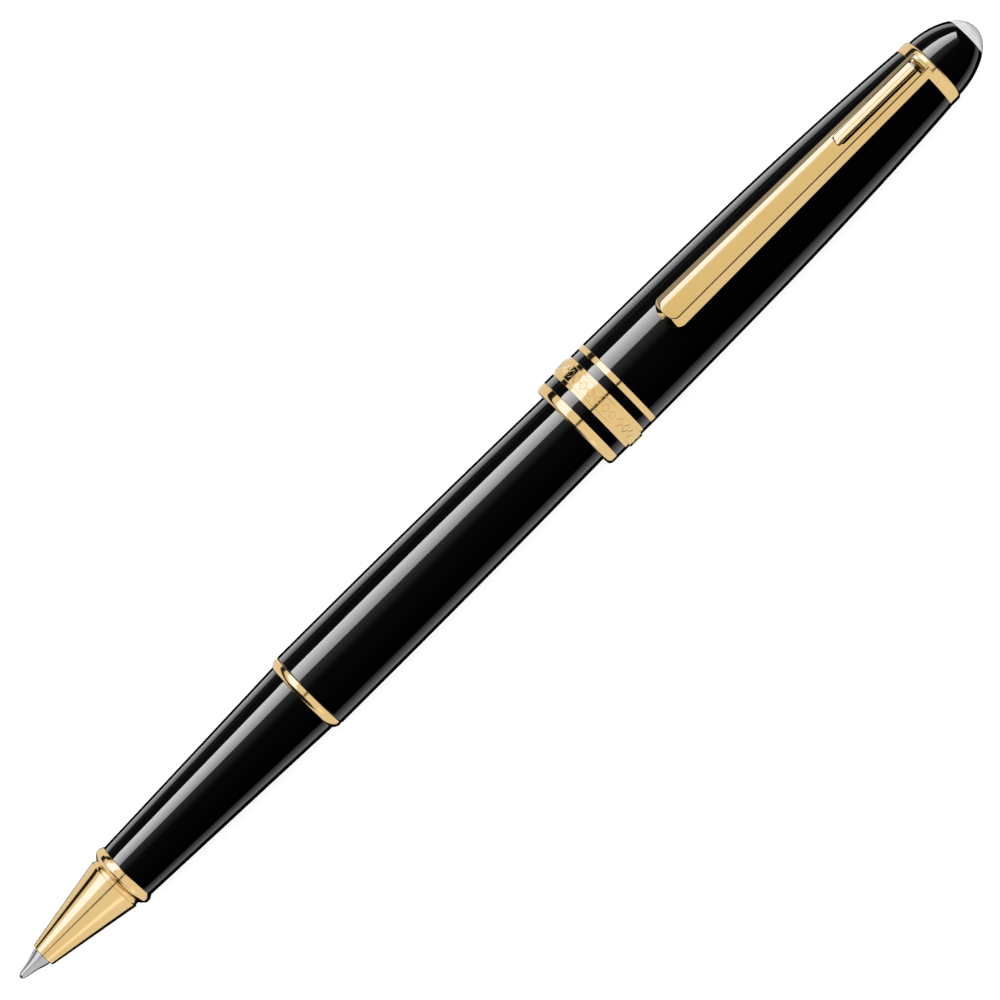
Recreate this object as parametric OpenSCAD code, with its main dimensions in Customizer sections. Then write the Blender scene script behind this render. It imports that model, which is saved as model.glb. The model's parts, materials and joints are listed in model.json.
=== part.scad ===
// Rollerball pen with a pull-off cap, posted on the barrel's tail.
// Every piece is turned about one axis. Stations along it are measured back from the ball.

/* [Refill] */
// Radius of the writing ball
ball_r = 0.35; // [0.25:0.05:0.5]
// Running clearance of the ball in its socket
ball_gap = 0.02; // [0.01:0.01:0.05]
// Radius of the steel point where it leaves the nose cone
point_r = 1.2; // [1:0.05:1.5]
// Length of the steel point that stands out of the nose cone
point_reach = 3.7; // [3:0.1:5]
// Length of the steel point that is held in the collar
point_root = 7.3; // [5:0.1:9]
// Radius of the refill's front collar
collar_r = 1.75; // [1.6:0.05:2]
// Radius of the refill's ink tube
refill_r = 3.0; // [2.4:0.1:3.6]
// Wall of the ink tube
tube_wall = 0.3; // [0.2:0.05:0.5]
// Length of the collar's spigot and of the end plug's spigot in the tube
spigot_len = 4.0; // [2:0.5:6]
// Thickness of the collar's flange and of the end plug's flange
flange_t = 0.8; // [0.5:0.1:1.2]
// Clearance round the refill in the section
refill_gap = 0.2; // [0.1:0.05:0.4]
// Travel of the refill back against its spring
refill_travel = 0.8; // [0.3:0.1:1.5]

/* [Refill spring] */
// Length of the spring as fitted
spring_len = 5.6; // [4:0.1:9]
// Wire radius of the spring
wire_r = 0.2; // [0.15:0.05:0.3]
// Mean radius of the spring's coils
coil_r = 2.1; // [1.9:0.1:2.3]
// Number of coils
coils = 5; // [3:1:8]
// Thickness of the spring seat's flange
seat_t = 1.0; // [0.6:0.1:2]
// Length of the spring seat's peg
peg_len = 3.0; // [1.5:0.1:3.4]

/* [Front section] */
// Length of the nose cone's taper
nose_len = 12.1; // [9:0.1:15]
// Wall of the nose cone at its mouth
nose_wall = 0.31; // [0.25:0.01:0.5]
// Length of the nose cone's rear flange
nose_flange_len = 1.5; // [1:0.1:2.5]
// Height of the rear flange above the grip
nose_flange_rise = 0.3; // [0.1:0.05:0.5]
// Length of the nose cone's screwed tenon in the grip
nose_tenon_len = 7.0; // [5:0.5:9]
// Length of the black grip
grip_len = 28.1; // [22:0.1:36]
// Wall of the grip at its front
grip_wall = 0.6; // [0.5:0.05:1]
// Step down from the barrel's radius to the rear of the grip
grip_step = 0.42; // [0.2:0.02:0.6]
// Length of the centre ring
ring_len = 1.2; // [0.8:0.1:2]
// Length of the threaded sleeve's tenon in the grip
sleeve_tenon_len = 8.0; // [5:0.5:12]

/* [Section thread] */
// Wall of the threaded sleeve under its thread
thread_wall = 0.95; // [0.8:0.05:1.2]
// Running clearance of the thread in the barrel bush
thread_gap = 0.05; // [0.02:0.01:0.1]
// Length of thread in mesh
thread_mesh = 7.0; // [5:1:9]
// Wall of the barrel bush
bush_wall = 0.45; // [0.35:0.05:0.7]
// Wall of the barrel over the bush
barrel_wall = 0.61; // [0.5:0.01:1]

/* [Barrel] */
// Length of the barrel
barrel_len = 73.6; // [62:0.1:90]
// Length of the straight stretch behind the front edge
straight_len = 9.0; // [6:0.5:14]
// How much thinner the barrel's tail is than its front, in radius
barrel_taper = 0.98; // [0.6:0.02:1.2]
// Clearance round the refill in the barrel
barrel_gap = 0.5; // [0.3:0.05:0.6]
// Thickness of the barrel's closed tail
tail_wall = 2.3; // [1.5:0.1:4]
// Rounding of the tail's edge
tail_round = 2.6; // [1:0.1:3]

/* [Cap] */
// How far the barrel's tail goes into the posted cap
post_depth = 31.1; // [24:0.1:38]
// Running clearance between the posted cap and the barrel
post_gap = 0.05; // [0.02:0.01:0.1]
// Wall of the turned-down sleeve that carries the trim rings
sleeve_wall = 0.45; // [0.4:0.05:0.8]
// Radial thickness of the trim rings
trim_wall = 0.58; // [0.4:0.02:0.9]
// Clearance of a trim ring on its sleeve
trim_gap = 0.02; // [0.01:0.01:0.05]
// Length of the lip ring
lip_len = 1.3; // [0.9:0.05:2]
// Length of the black spacer before the wide band
front_spacer_len = 1.35; // [0.8:0.05:2]
// Length of the wide band
wide_band_len = 2.9; // [2:0.1:5]
// Height of the wide band's raised field above its borders
band_rise = 0.17; // [0.05:0.01:0.4]
// Width of each plain border of the wide band
band_border = 0.5; // [0.3:0.05:0.8]
// Length of the black spacer behind the wide band
rear_spacer_len = 1.2; // [0.8:0.05:2]
// Length of the thin band
thin_band_len = 0.75; // [0.5:0.05:1.2]
// Wall of the cap tube outside its liner, at its closed end
cap_wall = 0.7; // [0.5:0.05:1]
// How much thinner the cap's closed end is than its mouth, in radius
cap_taper = 1.56; // [1.2:0.02:1.8]
// Depth of resin between the liner and the clip ring
cap_end_wall = 7.0; // [5:0.1:9]

/* [Cap liner] */
// Distance of the liner's mouth from the cap's lip
liner_set_back = 9.0; // [8:0.5:14]
// Wall of the liner
liner_wall = 0.4; // [0.3:0.05:0.6]
// Thickness of the liner's closed end
liner_end = 1.6; // [1:0.1:3]
// Room in front of the writing point when the pen is capped
tip_room = 2.5; // [1.5:0.1:5]

/* [Clip and crown] */
// Length of the clip ring
clip_ring_len = 1.7; // [1.2:0.1:2.5]
// Length of the clip
clip_len = 41.9; // [34:0.1:46]
// Width of the clip's top facet at its free end
clip_top_w = 2.8; // [2.2:0.1:3.4]
// Width of the clip's base at its free end
clip_base_w = 4.5; // [3.8:0.1:5.4]
// Height of the clip's folded section at its free end
clip_h = 1.5; // [1.2:0.05:1.8]
// Width of the clip's top facet at its head
head_top_w = 2.0; // [1.6:0.1:2.6]
// Width of the clip's base at its head
head_base_w = 3.55; // [3.1:0.05:4]
// Height of the clip's folded section at its head
head_h = 1.3; // [1:0.05:1.6]
// Height of the clip's top above the clip ring
head_rise = 2.7; // [2.2:0.05:3.2]
// Thickness of the clip's sheet
sheet_t = 0.4; // [0.3:0.05:0.5]
// Gap between the clip's free end and the cap
clip_gap = 0.63; // [0.4:0.01:1]
// Width of the neck that joins the clip to its ring
neck_w = 2.4; // [1.8:0.1:2.8]
// Clearance of the neck in the ring's notch, which lets the clip flex
neck_gap = 0.15; // [0.1:0.01:0.25]
// Length of the raised rib on the clip
rib_len = 12.5; // [8:0.5:20]
// Width of the raised rib
rib_w = 1.1; // [0.8:0.1:1.4]
// Length of the black crown
crown_len = 6.7; // [4.5:0.1:9]
// Step down from the clip ring to the crown, in radius
crown_step = 0.27; // [0.1:0.01:0.4]
// Radius of the pearl inlay at its seam with the crown
inlay_r = 2.7; // [2:0.1:3]
// Radius of the screw that holds the crown and clip ring
screw_r = 1.5; // [1.2:0.1:1.8]
// Length of the screw in the cap and in the crown, each
screw_bite = 4.0; // [3:0.1:4.5]

/* [Hidden] */

// Facets of a turned piece, steps of a curved outline, and the small overlap of a cut
fine = 96;
steps = 16;
cut = 0.1;
// Rounding of small edges, and the gap of a glued or pressed seat
edge = 0.15;
seat_gap = 0.02;
// Gap between faces that only rest against each other
face_gap = 0.03;

// Stations along the axis
nose_z = point_reach;
flange_z = nose_z + nose_len;
grip_z = flange_z + nose_flange_len;
ring_z = grip_z + grip_len;
barrel_z = ring_z + ring_len;
tail_z = barrel_z + barrel_len;
lip_z = tail_z - post_depth;
front_spacer_z = lip_z + lip_len;
wide_band_z = front_spacer_z + front_spacer_len;
rear_spacer_z = wide_band_z + wide_band_len;
thin_band_z = rear_spacer_z + rear_spacer_len;
cap_z = thin_band_z + thin_band_len;
liner_z = lip_z + liner_set_back;
liner_end_z = lip_z + ring_z + tip_room;
clip_ring_z = liner_end_z + liner_end + cap_end_wall;
crown_z = clip_ring_z + clip_ring_len;
overall = crown_z + crown_len;

// Stations inside
collar_z = nose_z + 5.5;
tenon_end_z = grip_z + nose_tenon_len;
refill_z = tenon_end_z + 0.3;
bore_end_z = tail_z - tail_wall;
seat_z = bore_end_z - seat_t;
refill_end_z = seat_z - spring_len;
bush_z = barrel_z + 0.4;
thread_end_z = bush_z + thread_mesh;
bush_end_z = thread_end_z + 2;
fibre_z = refill_z + flange_t + spigot_len + 1;
fibre_end_z = refill_end_z - flange_t - spigot_len - 1;

// Radii, from the refill outwards
bore_r = refill_r + refill_gap;
grip_front_r = bore_r + grip_wall;
flange_r = grip_front_r + nose_flange_rise;
cone_rear_r = flange_r - 0.5;
cone_front_r = point_r + 0.08 + nose_wall;
thread_r = bore_r + thread_wall;
tenon_r = thread_r - 0.3;
bush_r = thread_r + thread_gap + bush_wall;
barrel_r = bush_r + barrel_wall;
ring_r = barrel_r - face_gap;
grip_rear_r = barrel_r - grip_step;
barrel_bore_r = refill_r + barrel_gap;
taper_z = barrel_z + straight_len;
tail_taper_z = tail_z - tail_round;

// Radius of the barrel at a station: straight, then an ever steeper taper
function barrel_r_at(z) =
    barrel_r - barrel_taper * pow(max(0, (z - taper_z) / (tail_taper_z - taper_z)), 1.8);

lip_bore_r = barrel_r_at(lip_z) + post_gap;
sleeve_r = lip_bore_r + sleeve_wall;
cap_r = sleeve_r + trim_wall;
band_r = cap_r + band_rise;
axis_h = band_r;

// Radius of the cap tube at a station: nearly straight at the bands, then bending in
function cap_share(z) = (z - cap_z) / (clip_ring_z - cap_z);
function cap_r_at(z) = cap_r - cap_taper * (0.35 * cap_share(z) + 0.65 * pow(cap_share(z), 3));

clip_ring_r = cap_r - cap_taper - face_gap;
crown_r = clip_ring_r - crown_step;
// Radius of the crown at a height above its foot
function crown_r_at(h) = crown_r * pow(max(0, 1 - pow(h / crown_len, 1.8)), 1 / 2.1);
// Height at which the crown narrows to the inlay
inlay_h = crown_len * pow(1 - pow(inlay_r / crown_r, 2.1), 1 / 1.8);

// Clip
clip_end_z = crown_z - face_gap;
clip_z = clip_end_z - clip_len;
clip_top = cap_r_at(clip_z) + clip_gap + clip_h;
head_top = clip_ring_r + head_rise;
clip_lean = (clip_top - head_top) / clip_len;
hinge_z = clip_ring_z + clip_ring_len / 2;
hinge_h = clip_ring_r;
notch_h = hinge_h - 0.75;

// Evenly spaced stations
function stations(a, b) = [for (i = [0:steps]) a + (b - a) * i / steps];

// Lays a piece along the pen, with the ball at -X and the clip's side up
module along_pen() translate([-overall / 2, 0, axis_h]) rotate([0, 90, 0]) children();

// A turned solid, from its outline of [radius, station] points
module turned(outline) along_pen() rotate_extrude($fn = fine) polygon(outline);

// A plain tube between two stations
module tube(outer_r, inner_r, z0, z1)
    turned([[inner_r, z0], [outer_r, z0], [outer_r, z1], [inner_r, z1]]);

// A plain rod between two stations
module rod(r, z0, z1) turned([[0, z0], [r, z0], [r, z1], [0, z1]]);

// ---- Refill ----

module writing_ball() color("dimgray")
    along_pen() translate([0, 0, ball_r]) sphere(r = ball_r, $fn = 48);

// Steel point: a slim tip that holds the ball, a wider cone and a shank in the collar
module refill_point() color("silver") {
    root_z = nose_z + point_root;
    difference() {
        turned([[0, 0.25], [0.42, 0.25], [0.77, 0.56 * nose_z], [0.96 * point_r, 0.87 * nose_z],
                [point_r, nose_z], [point_r, root_z], [0, root_z]]);
        along_pen() translate([0, 0, ball_r]) sphere(r = ball_r + ball_gap, $fn = 48);
        rod(0.25, ball_r, root_z + cut);
        rod(0.5 + seat_gap, nose_z, root_z + cut);
    }
}

// Plastic collar between the steel point and the ink tube
module refill_collar() color("white") {
    root_z = nose_z + point_root;
    spigot_z = refill_z + flange_t;
    difference() {
        turned([[0, collar_z], [collar_r, collar_z], [collar_r, refill_z], [refill_r, refill_z],
                [refill_r, spigot_z], [refill_r - tube_wall - seat_gap, spigot_z],
                [refill_r - tube_wall - seat_gap, spigot_z + spigot_len],
                [0, spigot_z + spigot_len]]);
        rod(point_r + seat_gap, collar_z - cut, root_z);
        rod(0.5 + seat_gap, root_z - cut, spigot_z + spigot_len + cut);
    }
}

module refill_tube() color("gainsboro")
    tube(refill_r, refill_r - tube_wall, refill_z + flange_t, refill_end_z - flange_t);

// Fibre rod that holds the ink
module ink_reservoir() color("midnightblue") difference() {
    rod(refill_r - tube_wall - 0.1, fibre_z, fibre_end_z);
    rod(0.5 + seat_gap, fibre_z - cut, fibre_z + 6);
}

// Wick that leads the ink from the reservoir to the point
module ink_feed() color("slateblue") rod(0.5, nose_z + 0.5, fibre_z + 5.5);

module refill_end_plug() color("black") {
    spigot_r = refill_r - tube_wall - seat_gap;
    turned([[0, refill_end_z - flange_t - spigot_len], [spigot_r, refill_end_z - flange_t - spigot_len],
            [spigot_r, refill_end_z - flange_t], [refill_r, refill_end_z - flange_t],
            [refill_r, refill_end_z], [0, refill_end_z]]);
}

// Open coil between the refill's end plug and the spring seat
module refill_spring() color("lightsteelblue") {
    sides = 8;
    turns = 20 * coils;
    height = spring_len - 2 * wire_r - 2 * face_gap;
    ring_points = [for (i = [0:turns], k = [0:sides - 1])
        let (turn = 360 * i * coils / turns, side = 360 * k / sides,
             r = coil_r + wire_r * cos(side))
        [r * cos(turn), r * sin(turn), height * i / turns + wire_r * sin(side)]];
    skin = [for (i = [0:turns - 1], k = [0:sides - 1])
        let (a = i * sides + k, b = i * sides + (k + 1) % sides)
        [a, b, b + sides, a + sides]];
    caps = [[for (k = [sides - 1:-1:0]) k], [for (k = [0:sides - 1]) turns * sides + k]];
    along_pen() translate([0, 0, refill_end_z + wire_r + face_gap])
        polyhedron(points = ring_points, faces = concat(skin, caps), convexity = 10);
}

// Plastic seat in the barrel's tail, with a peg inside the spring
module spring_seat() color("dimgray") {
    peg_r = coil_r - wire_r - 0.3;
    turned([[0, seat_z - peg_len], [peg_r - edge, seat_z - peg_len],
            [peg_r, seat_z - peg_len + edge], [peg_r, seat_z],
            [barrel_bore_r - seat_gap, seat_z], [barrel_bore_r - seat_gap, bore_end_z],
            [0, bore_end_z]]);
}

// ---- Front section ----

// Gilt nose: a cone with a rounded mouth, a grooved flange and a tenon screwed into the grip
module nose_cone() color("goldenrod") {
    groove_z = flange_z - 0.6;
    difference() {
        turned([[0, nose_z], [cone_front_r - edge, nose_z], [cone_front_r, nose_z + edge],
                [cone_rear_r - 0.05, groove_z], [cone_rear_r - 0.2, groove_z + 0.3],
                [cone_rear_r, flange_z], [flange_r, flange_z + 0.55],
                [flange_r, flange_z + 0.8], [grip_front_r + 0.05, grip_z],
                [bore_r - seat_gap, grip_z], [bore_r - seat_gap, tenon_end_z],
                [0, tenon_end_z]]);
        rod(point_r + 0.08, nose_z - cut, collar_z);
        rod(collar_r + refill_gap, collar_z - face_gap, tenon_end_z + cut);
    }
}

// Black resin grip: a slim cone, bored through, with a wider seat for the threaded sleeve
module grip_section() color("black") difference() {
    turned([[bore_r, grip_z], [grip_front_r, grip_z], [grip_rear_r, ring_z], [bore_r, ring_z]]);
    rod(tenon_r + seat_gap, ring_z - sleeve_tenon_len, ring_z + cut);
}

// Brass sleeve: a tenon in the grip and a threaded end that screws into the barrel bush
module threaded_sleeve() color("darkgoldenrod")
    turned([[bore_r, ring_z - sleeve_tenon_len], [tenon_r, ring_z - sleeve_tenon_len],
            [tenon_r, ring_z], [thread_r, ring_z], [thread_r, thread_end_z - edge],
            [thread_r - edge, thread_end_z], [bore_r, thread_end_z]]);

module centre_ring() color("gold")
    turned([[thread_r + thread_gap, ring_z + face_gap], [grip_rear_r - 0.04, ring_z + face_gap],
            [ring_r - 0.05, ring_z + 0.6], [ring_r, ring_z + 0.75],
            [ring_r, barrel_z - face_gap], [thread_r + thread_gap, barrel_z - face_gap]]);

// ---- Barrel ----

// Black resin barrel: straight, then tapering to a rounded tail; bored for the refill
module barrel() color("black") {
    tail_r = barrel_r_at(tail_taper_z);
    difference() {
        turned(concat(
            [[0, barrel_z], [barrel_r - edge, barrel_z], [barrel_r, barrel_z + edge]],
            [for (z = stations(taper_z, tail_taper_z)) [barrel_r_at(z), z]],
            [for (a = [15:15:90]) [tail_r - tail_round * (1 - cos(a)), tail_taper_z + tail_round * sin(a)]],
            [[0, tail_z]]));
        rod(bush_r + seat_gap, barrel_z - cut, bush_end_z);
        rod(barrel_bore_r, bush_end_z - cut, bore_end_z);
    }
}

module barrel_bush() color("darkgoldenrod")
    tube(bush_r, thread_r + thread_gap, bush_z, bush_end_z);

// ---- Cap ----

// Gilt ring that closes the cap's mouth, seated over the end of the sleeve
module lip_ring() color("gold") {
    seat_depth = 0.5;
    turned([[lip_bore_r, lip_z], [cap_r - 0.5, lip_z], [cap_r - 0.2, lip_z + 0.25],
            [cap_r, lip_z + 0.7], [cap_r, front_spacer_z], [sleeve_r + trim_gap, front_spacer_z],
            [sleeve_r + trim_gap, front_spacer_z - seat_depth],
            [lip_bore_r, front_spacer_z - seat_depth]]);
}

// A trim ring on the sleeve
module trim_ring(z0, z1) tube(cap_r, sleeve_r + trim_gap, z0, z1);

module front_spacer() color("black") trim_ring(front_spacer_z, wide_band_z);

// Gilt band with a raised field between two plain borders
module wide_band() color("gold")
    turned([[sleeve_r + trim_gap, wide_band_z], [cap_r, wide_band_z],
            [cap_r, wide_band_z + band_border], [band_r, wide_band_z + band_border],
            [band_r, rear_spacer_z - band_border], [cap_r, rear_spacer_z - band_border],
            [cap_r, rear_spacer_z], [sleeve_r + trim_gap, rear_spacer_z]]);

module rear_spacer() color("black") trim_ring(rear_spacer_z, thin_band_z);

module thin_band() color("gold") trim_ring(thin_band_z, cap_z);

// The liner's bore follows the posted barrel, then narrows round the capped nose
function liner_bore_at(z) = barrel_r_at(min(z, tail_taper_z)) + post_gap;
liner_tip_r = cap_r_at(liner_end_z) - cap_wall - liner_wall - 0.15;
liner_bore = concat(
    [for (z = stations(liner_z, tail_taper_z)) [liner_bore_at(z), z]],
    [[liner_bore_at(tail_z), tail_z + 0.5], [liner_tip_r, liner_end_z - 0.5]]);
liner_skin = [for (p = liner_bore) [p[0] + liner_wall, p[1]]];

// Black resin cap: a turned-down sleeve under the trim rings, then the tapering tube
module cap_tube() color("black") difference() {
    turned(concat(
        [[0, front_spacer_z - 0.5], [sleeve_r, front_spacer_z - 0.5], [sleeve_r, cap_z]],
        [for (z = stations(cap_z, clip_ring_z)) [cap_r_at(z), z]],
        [[0, clip_ring_z]]));
    rod(lip_bore_r, lip_z, liner_z);
    turned(concat([[0, liner_z - cut], [liner_skin[0][0] + seat_gap, liner_z - cut]],
                  [for (p = liner_skin) [p[0] + seat_gap, p[1]]],
                  [[liner_tip_r + liner_wall + seat_gap, liner_end_z + liner_end],
                   [0, liner_end_z + liner_end]]));
    rod(screw_r + seat_gap, clip_ring_z - screw_bite, clip_ring_z + cut);
}

// Plastic liner: holds the posted barrel, and closes round the nose when the pen is capped
module cap_liner() color("dimgray") difference() {
    turned(concat([[0, liner_z]], liner_skin,
                  [[liner_tip_r + liner_wall, liner_end_z + liner_end],
                   [0, liner_end_z + liner_end]]));
    turned(concat([[0, liner_z - cut], [liner_bore[0][0], liner_z - cut]], liner_bore,
                  [[liner_tip_r - 0.5, liner_end_z], [0, liner_end_z]]));
}

// ---- Clip and crown ----

// Gilt ring under the crown, notched for the clip's neck
module clip_ring() color("gold") difference() {
    turned([[screw_r + neck_gap, clip_ring_z + face_gap], [clip_ring_r, clip_ring_z + face_gap],
            [clip_ring_r, crown_z - 0.5], [clip_ring_r - 0.1, crown_z - 0.2],
            [clip_ring_r - 0.3, crown_z - face_gap], [screw_r + neck_gap, crown_z - face_gap]]);
    along_pen() translate([-clip_ring_r - cut, -neck_w / 2 - neck_gap, clip_ring_z - cut])
        cube([clip_ring_r + cut - notch_h + neck_gap, neck_w + 2 * neck_gap,
              clip_ring_len + 2 * cut]);
}

// The clip's folded section, with straight sloping sides, between two heights above the axis
module clip_section(top_w, base_w, base, top) {
    polygon([[-top, -top_w / 2], [-top, top_w / 2], [-base, base_w / 2], [-base, -base_w / 2]]);
}

// The clip's body from its round free end to its head, shrunk by a wall on every side
module clip_body(wall) {
    end_r = clip_base_w / 2;
    below = wall > 0 ? 1 : 0;
    end_spread = below * (clip_base_w - clip_top_w) / clip_h / 2;
    head_spread = below * (head_base_w - head_top_w) / head_h / 2;
    hull() {
        translate([wall - clip_top, 0, clip_z + end_r]) rotate([0, 90, 0])
            cylinder(h = clip_h + below - wall, r1 = clip_top_w / 2 - wall,
                     r2 = end_r + end_spread - wall, $fn = 32);
        translate([0, 0, clip_end_z - sheet_t - cut])
            linear_extrude(wall > 0 ? cut : sheet_t + cut)
            clip_section(head_top_w - 2 * wall, head_base_w + 2 * head_spread - 2 * wall,
                         head_top - head_h - below, head_top - wall);
    }
}

// Gilt clip: a folded trough with a rounded free end, a ribbed head and a neck in the ring
module clip() color("gold") {
    rib_z = clip_end_z - 0.9 - rib_len;
    lean = atan(clip_lean);
    along_pen() {
        difference() {
            clip_body(0);
            clip_body(sheet_t);
            translate([-head_top, 0, clip_end_z]) rotate([0, -lean, 0])
                translate([-1, -head_top_w / 2 + 0.2, -0.9 - rib_len])
                cube([1.2, head_top_w - 0.4, rib_len]);
        }
        translate([-head_top + 0.25, 0, clip_end_z]) rotate([0, -lean, 0])
            translate([0, 0, -0.9 - rib_len]) cylinder(h = rib_len - 0.6, r = rib_w / 2 - 0.1, $fn = 24);
        translate([-head_top + sheet_t / 2, -neck_w / 2, clip_ring_z + neck_gap])
            cube([head_top - sheet_t / 2 - notch_h, neck_w, clip_ring_len - neck_gap - face_gap]);
    }
}

// Black domed crown, bored for its screw and seated with the inlay
module crown() color("black") difference() {
    turned(concat([[0, crown_z]], [for (h = stations(0, inlay_h)) [crown_r_at(h), crown_z + h]],
                  [[0, crown_z + inlay_h]]));
    rod(screw_r + seat_gap, crown_z - cut, crown_z + screw_bite);
}

module crown_screw() color("darkgoldenrod")
    rod(screw_r, clip_ring_z - screw_bite, crown_z + screw_bite);

// Plain pearl-white tip of the crown
module crown_inlay() color("white")
    turned(concat([[0, crown_z + inlay_h]],
                  [for (i = [0:steps]) let (h = inlay_h + (crown_len - inlay_h) * sin(90 * i / steps))
                   [crown_r_at(h), crown_z + h]]));

writing_ball();
refill_point();
refill_collar();
refill_tube();
ink_reservoir();
ink_feed();
refill_end_plug();
refill_spring();
spring_seat();
nose_cone();
grip_section();
threaded_sleeve();
centre_ring();
barrel();
barrel_bush();
lip_ring();
front_spacer();
wide_band();
rear_spacer();
thin_band();
cap_tube();
cap_liner();
clip_ring();
clip();
crown();
crown_screw();
crown_inlay();
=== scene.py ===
"""A rollerball pen, lying level with its cap posted on the barrel's tail.

Every visible piece is modelled about the pen's axis, inside the frame's own solids, and dressed
with a procedural finish. Lengths in the classes are in millimetres and are turned into metres
where a mesh is made.
"""
import json
import logging
import math
from dataclasses import dataclass, field, replace
from enum import Enum
from typing import Callable, ClassVar

import bpy
from mathutils import Euler, Matrix, Vector

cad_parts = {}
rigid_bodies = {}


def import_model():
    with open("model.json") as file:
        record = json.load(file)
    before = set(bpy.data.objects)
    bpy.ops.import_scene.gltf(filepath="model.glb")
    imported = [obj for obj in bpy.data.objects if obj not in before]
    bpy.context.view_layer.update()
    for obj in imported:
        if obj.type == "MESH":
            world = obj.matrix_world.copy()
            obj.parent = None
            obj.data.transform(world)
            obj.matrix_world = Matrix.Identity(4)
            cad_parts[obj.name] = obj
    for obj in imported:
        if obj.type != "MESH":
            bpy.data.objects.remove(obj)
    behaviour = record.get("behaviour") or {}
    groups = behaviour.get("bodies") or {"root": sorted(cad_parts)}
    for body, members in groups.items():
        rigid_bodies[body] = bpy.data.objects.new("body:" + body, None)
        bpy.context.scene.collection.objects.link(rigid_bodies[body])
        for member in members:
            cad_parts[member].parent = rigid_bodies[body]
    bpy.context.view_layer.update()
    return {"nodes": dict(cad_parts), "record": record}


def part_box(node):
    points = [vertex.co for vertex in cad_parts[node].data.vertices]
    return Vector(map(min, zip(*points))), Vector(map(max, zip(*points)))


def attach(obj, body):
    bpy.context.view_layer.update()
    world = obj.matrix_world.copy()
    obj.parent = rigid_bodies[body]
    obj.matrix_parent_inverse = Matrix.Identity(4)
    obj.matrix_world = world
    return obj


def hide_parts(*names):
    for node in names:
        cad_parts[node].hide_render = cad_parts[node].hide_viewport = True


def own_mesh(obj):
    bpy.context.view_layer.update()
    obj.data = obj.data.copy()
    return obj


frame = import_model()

MM = 0.001
MERGE = 1e-6

log = logging.getLogger("pen")

Point = tuple[float, float]
Outline = list[Point]


# ---- Places taken from the frame ----

@dataclass(frozen=True)
class Span:
    """Where a node of the frame lies along the pen, and how thick it is.

    Attributes:
        front: Its end towards the writing point, in mm from the frame's origin.
        back: Its end towards the crown, in mm.
        radius: Half its width, in mm.
    """

    front: float
    back: float
    radius: float

    @classmethod
    def of(cls, node: str) -> "Span":
        """Measures a node.

        Args:
            node: The node's name in the frame.

        Returns:
            Its span.
        """
        low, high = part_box(node)
        return cls(low.x / MM, high.x / MM, (high.y - low.y) / 2 / MM)


def axis_height() -> float:
    """Returns the height of the pen's axis above the floor, in mm."""
    low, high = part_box("barrel")
    return (low.z + high.z) / 2 / MM


def body_of(node: str) -> str:
    """Finds the body that a node belongs to.

    Args:
        node: The node's name in the frame.

    Returns:
        The body's name.
    """
    bodies = frame["record"]["behaviour"]["bodies"]
    return next(body for body, nodes in bodies.items() if node in nodes)


# ---- Shader node groups ----

class Sheet:
    """A node tree that is being wired up."""

    def __init__(self, tree: bpy.types.NodeTree) -> None:
        """Starts from an empty tree.

        Args:
            tree: The tree to fill.
        """
        self.tree = tree
        self.tree.nodes.clear()

    def node(self, kind: str, **settings: object) -> bpy.types.Node:
        """Adds a node.

        Args:
            kind: The node's type without its "ShaderNode" prefix.
            **settings: Properties to set on it.

        Returns:
            The new node.
        """
        prefix = "" if kind.startswith("NodeGroup") else "ShaderNode"
        made = self.tree.nodes.new(prefix + kind)
        for name, value in settings.items():
            setattr(made, name, value)
        return made

    def wire(self, start: bpy.types.NodeSocket, end: bpy.types.NodeSocket) -> None:
        """Links an output socket to an input socket."""
        self.tree.links.new(start, end)

    def sums(self, operation: str, first: object, second: object) -> bpy.types.NodeSocket:
        """Adds a math node.

        Args:
            operation: The node's operation.
            first: A socket or a number.
            second: A socket or a number.

        Returns:
            The result's socket.
        """
        made = self.node("Math", operation=operation)
        for socket, value in zip(made.inputs, (first, second)):
            if isinstance(value, bpy.types.NodeSocket):
                self.wire(value, socket)
            else:
                socket.default_value = value
        return made.outputs[0]

    def ramp(self, value: bpy.types.NodeSocket, low: float, high: float,
             to_low: float, to_high: float) -> bpy.types.NodeSocket:
        """Maps one range of a value onto another.

        Args:
            value: The socket to read.
            low: The value that becomes to_low.
            high: The value that becomes to_high.
            to_low: The result at low.
            to_high: The result at high.

        Returns:
            The result's socket.
        """
        made = self.node("MapRange")
        self.wire(value, made.inputs["Value"])
        for name, number in (("From Min", low), ("From Max", high),
                             ("To Min", to_low), ("To Max", to_high)):
            made.inputs[name].default_value = number
        return made.outputs["Result"]


class Effect(Enum):
    """The surface effects that several finishes share."""

    GRAIN = "surface_grain"
    HAIRLINES = "hairlines"
    TURNING = "turning_marks"
    EDGE_WEAR = "edge_wear"


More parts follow.
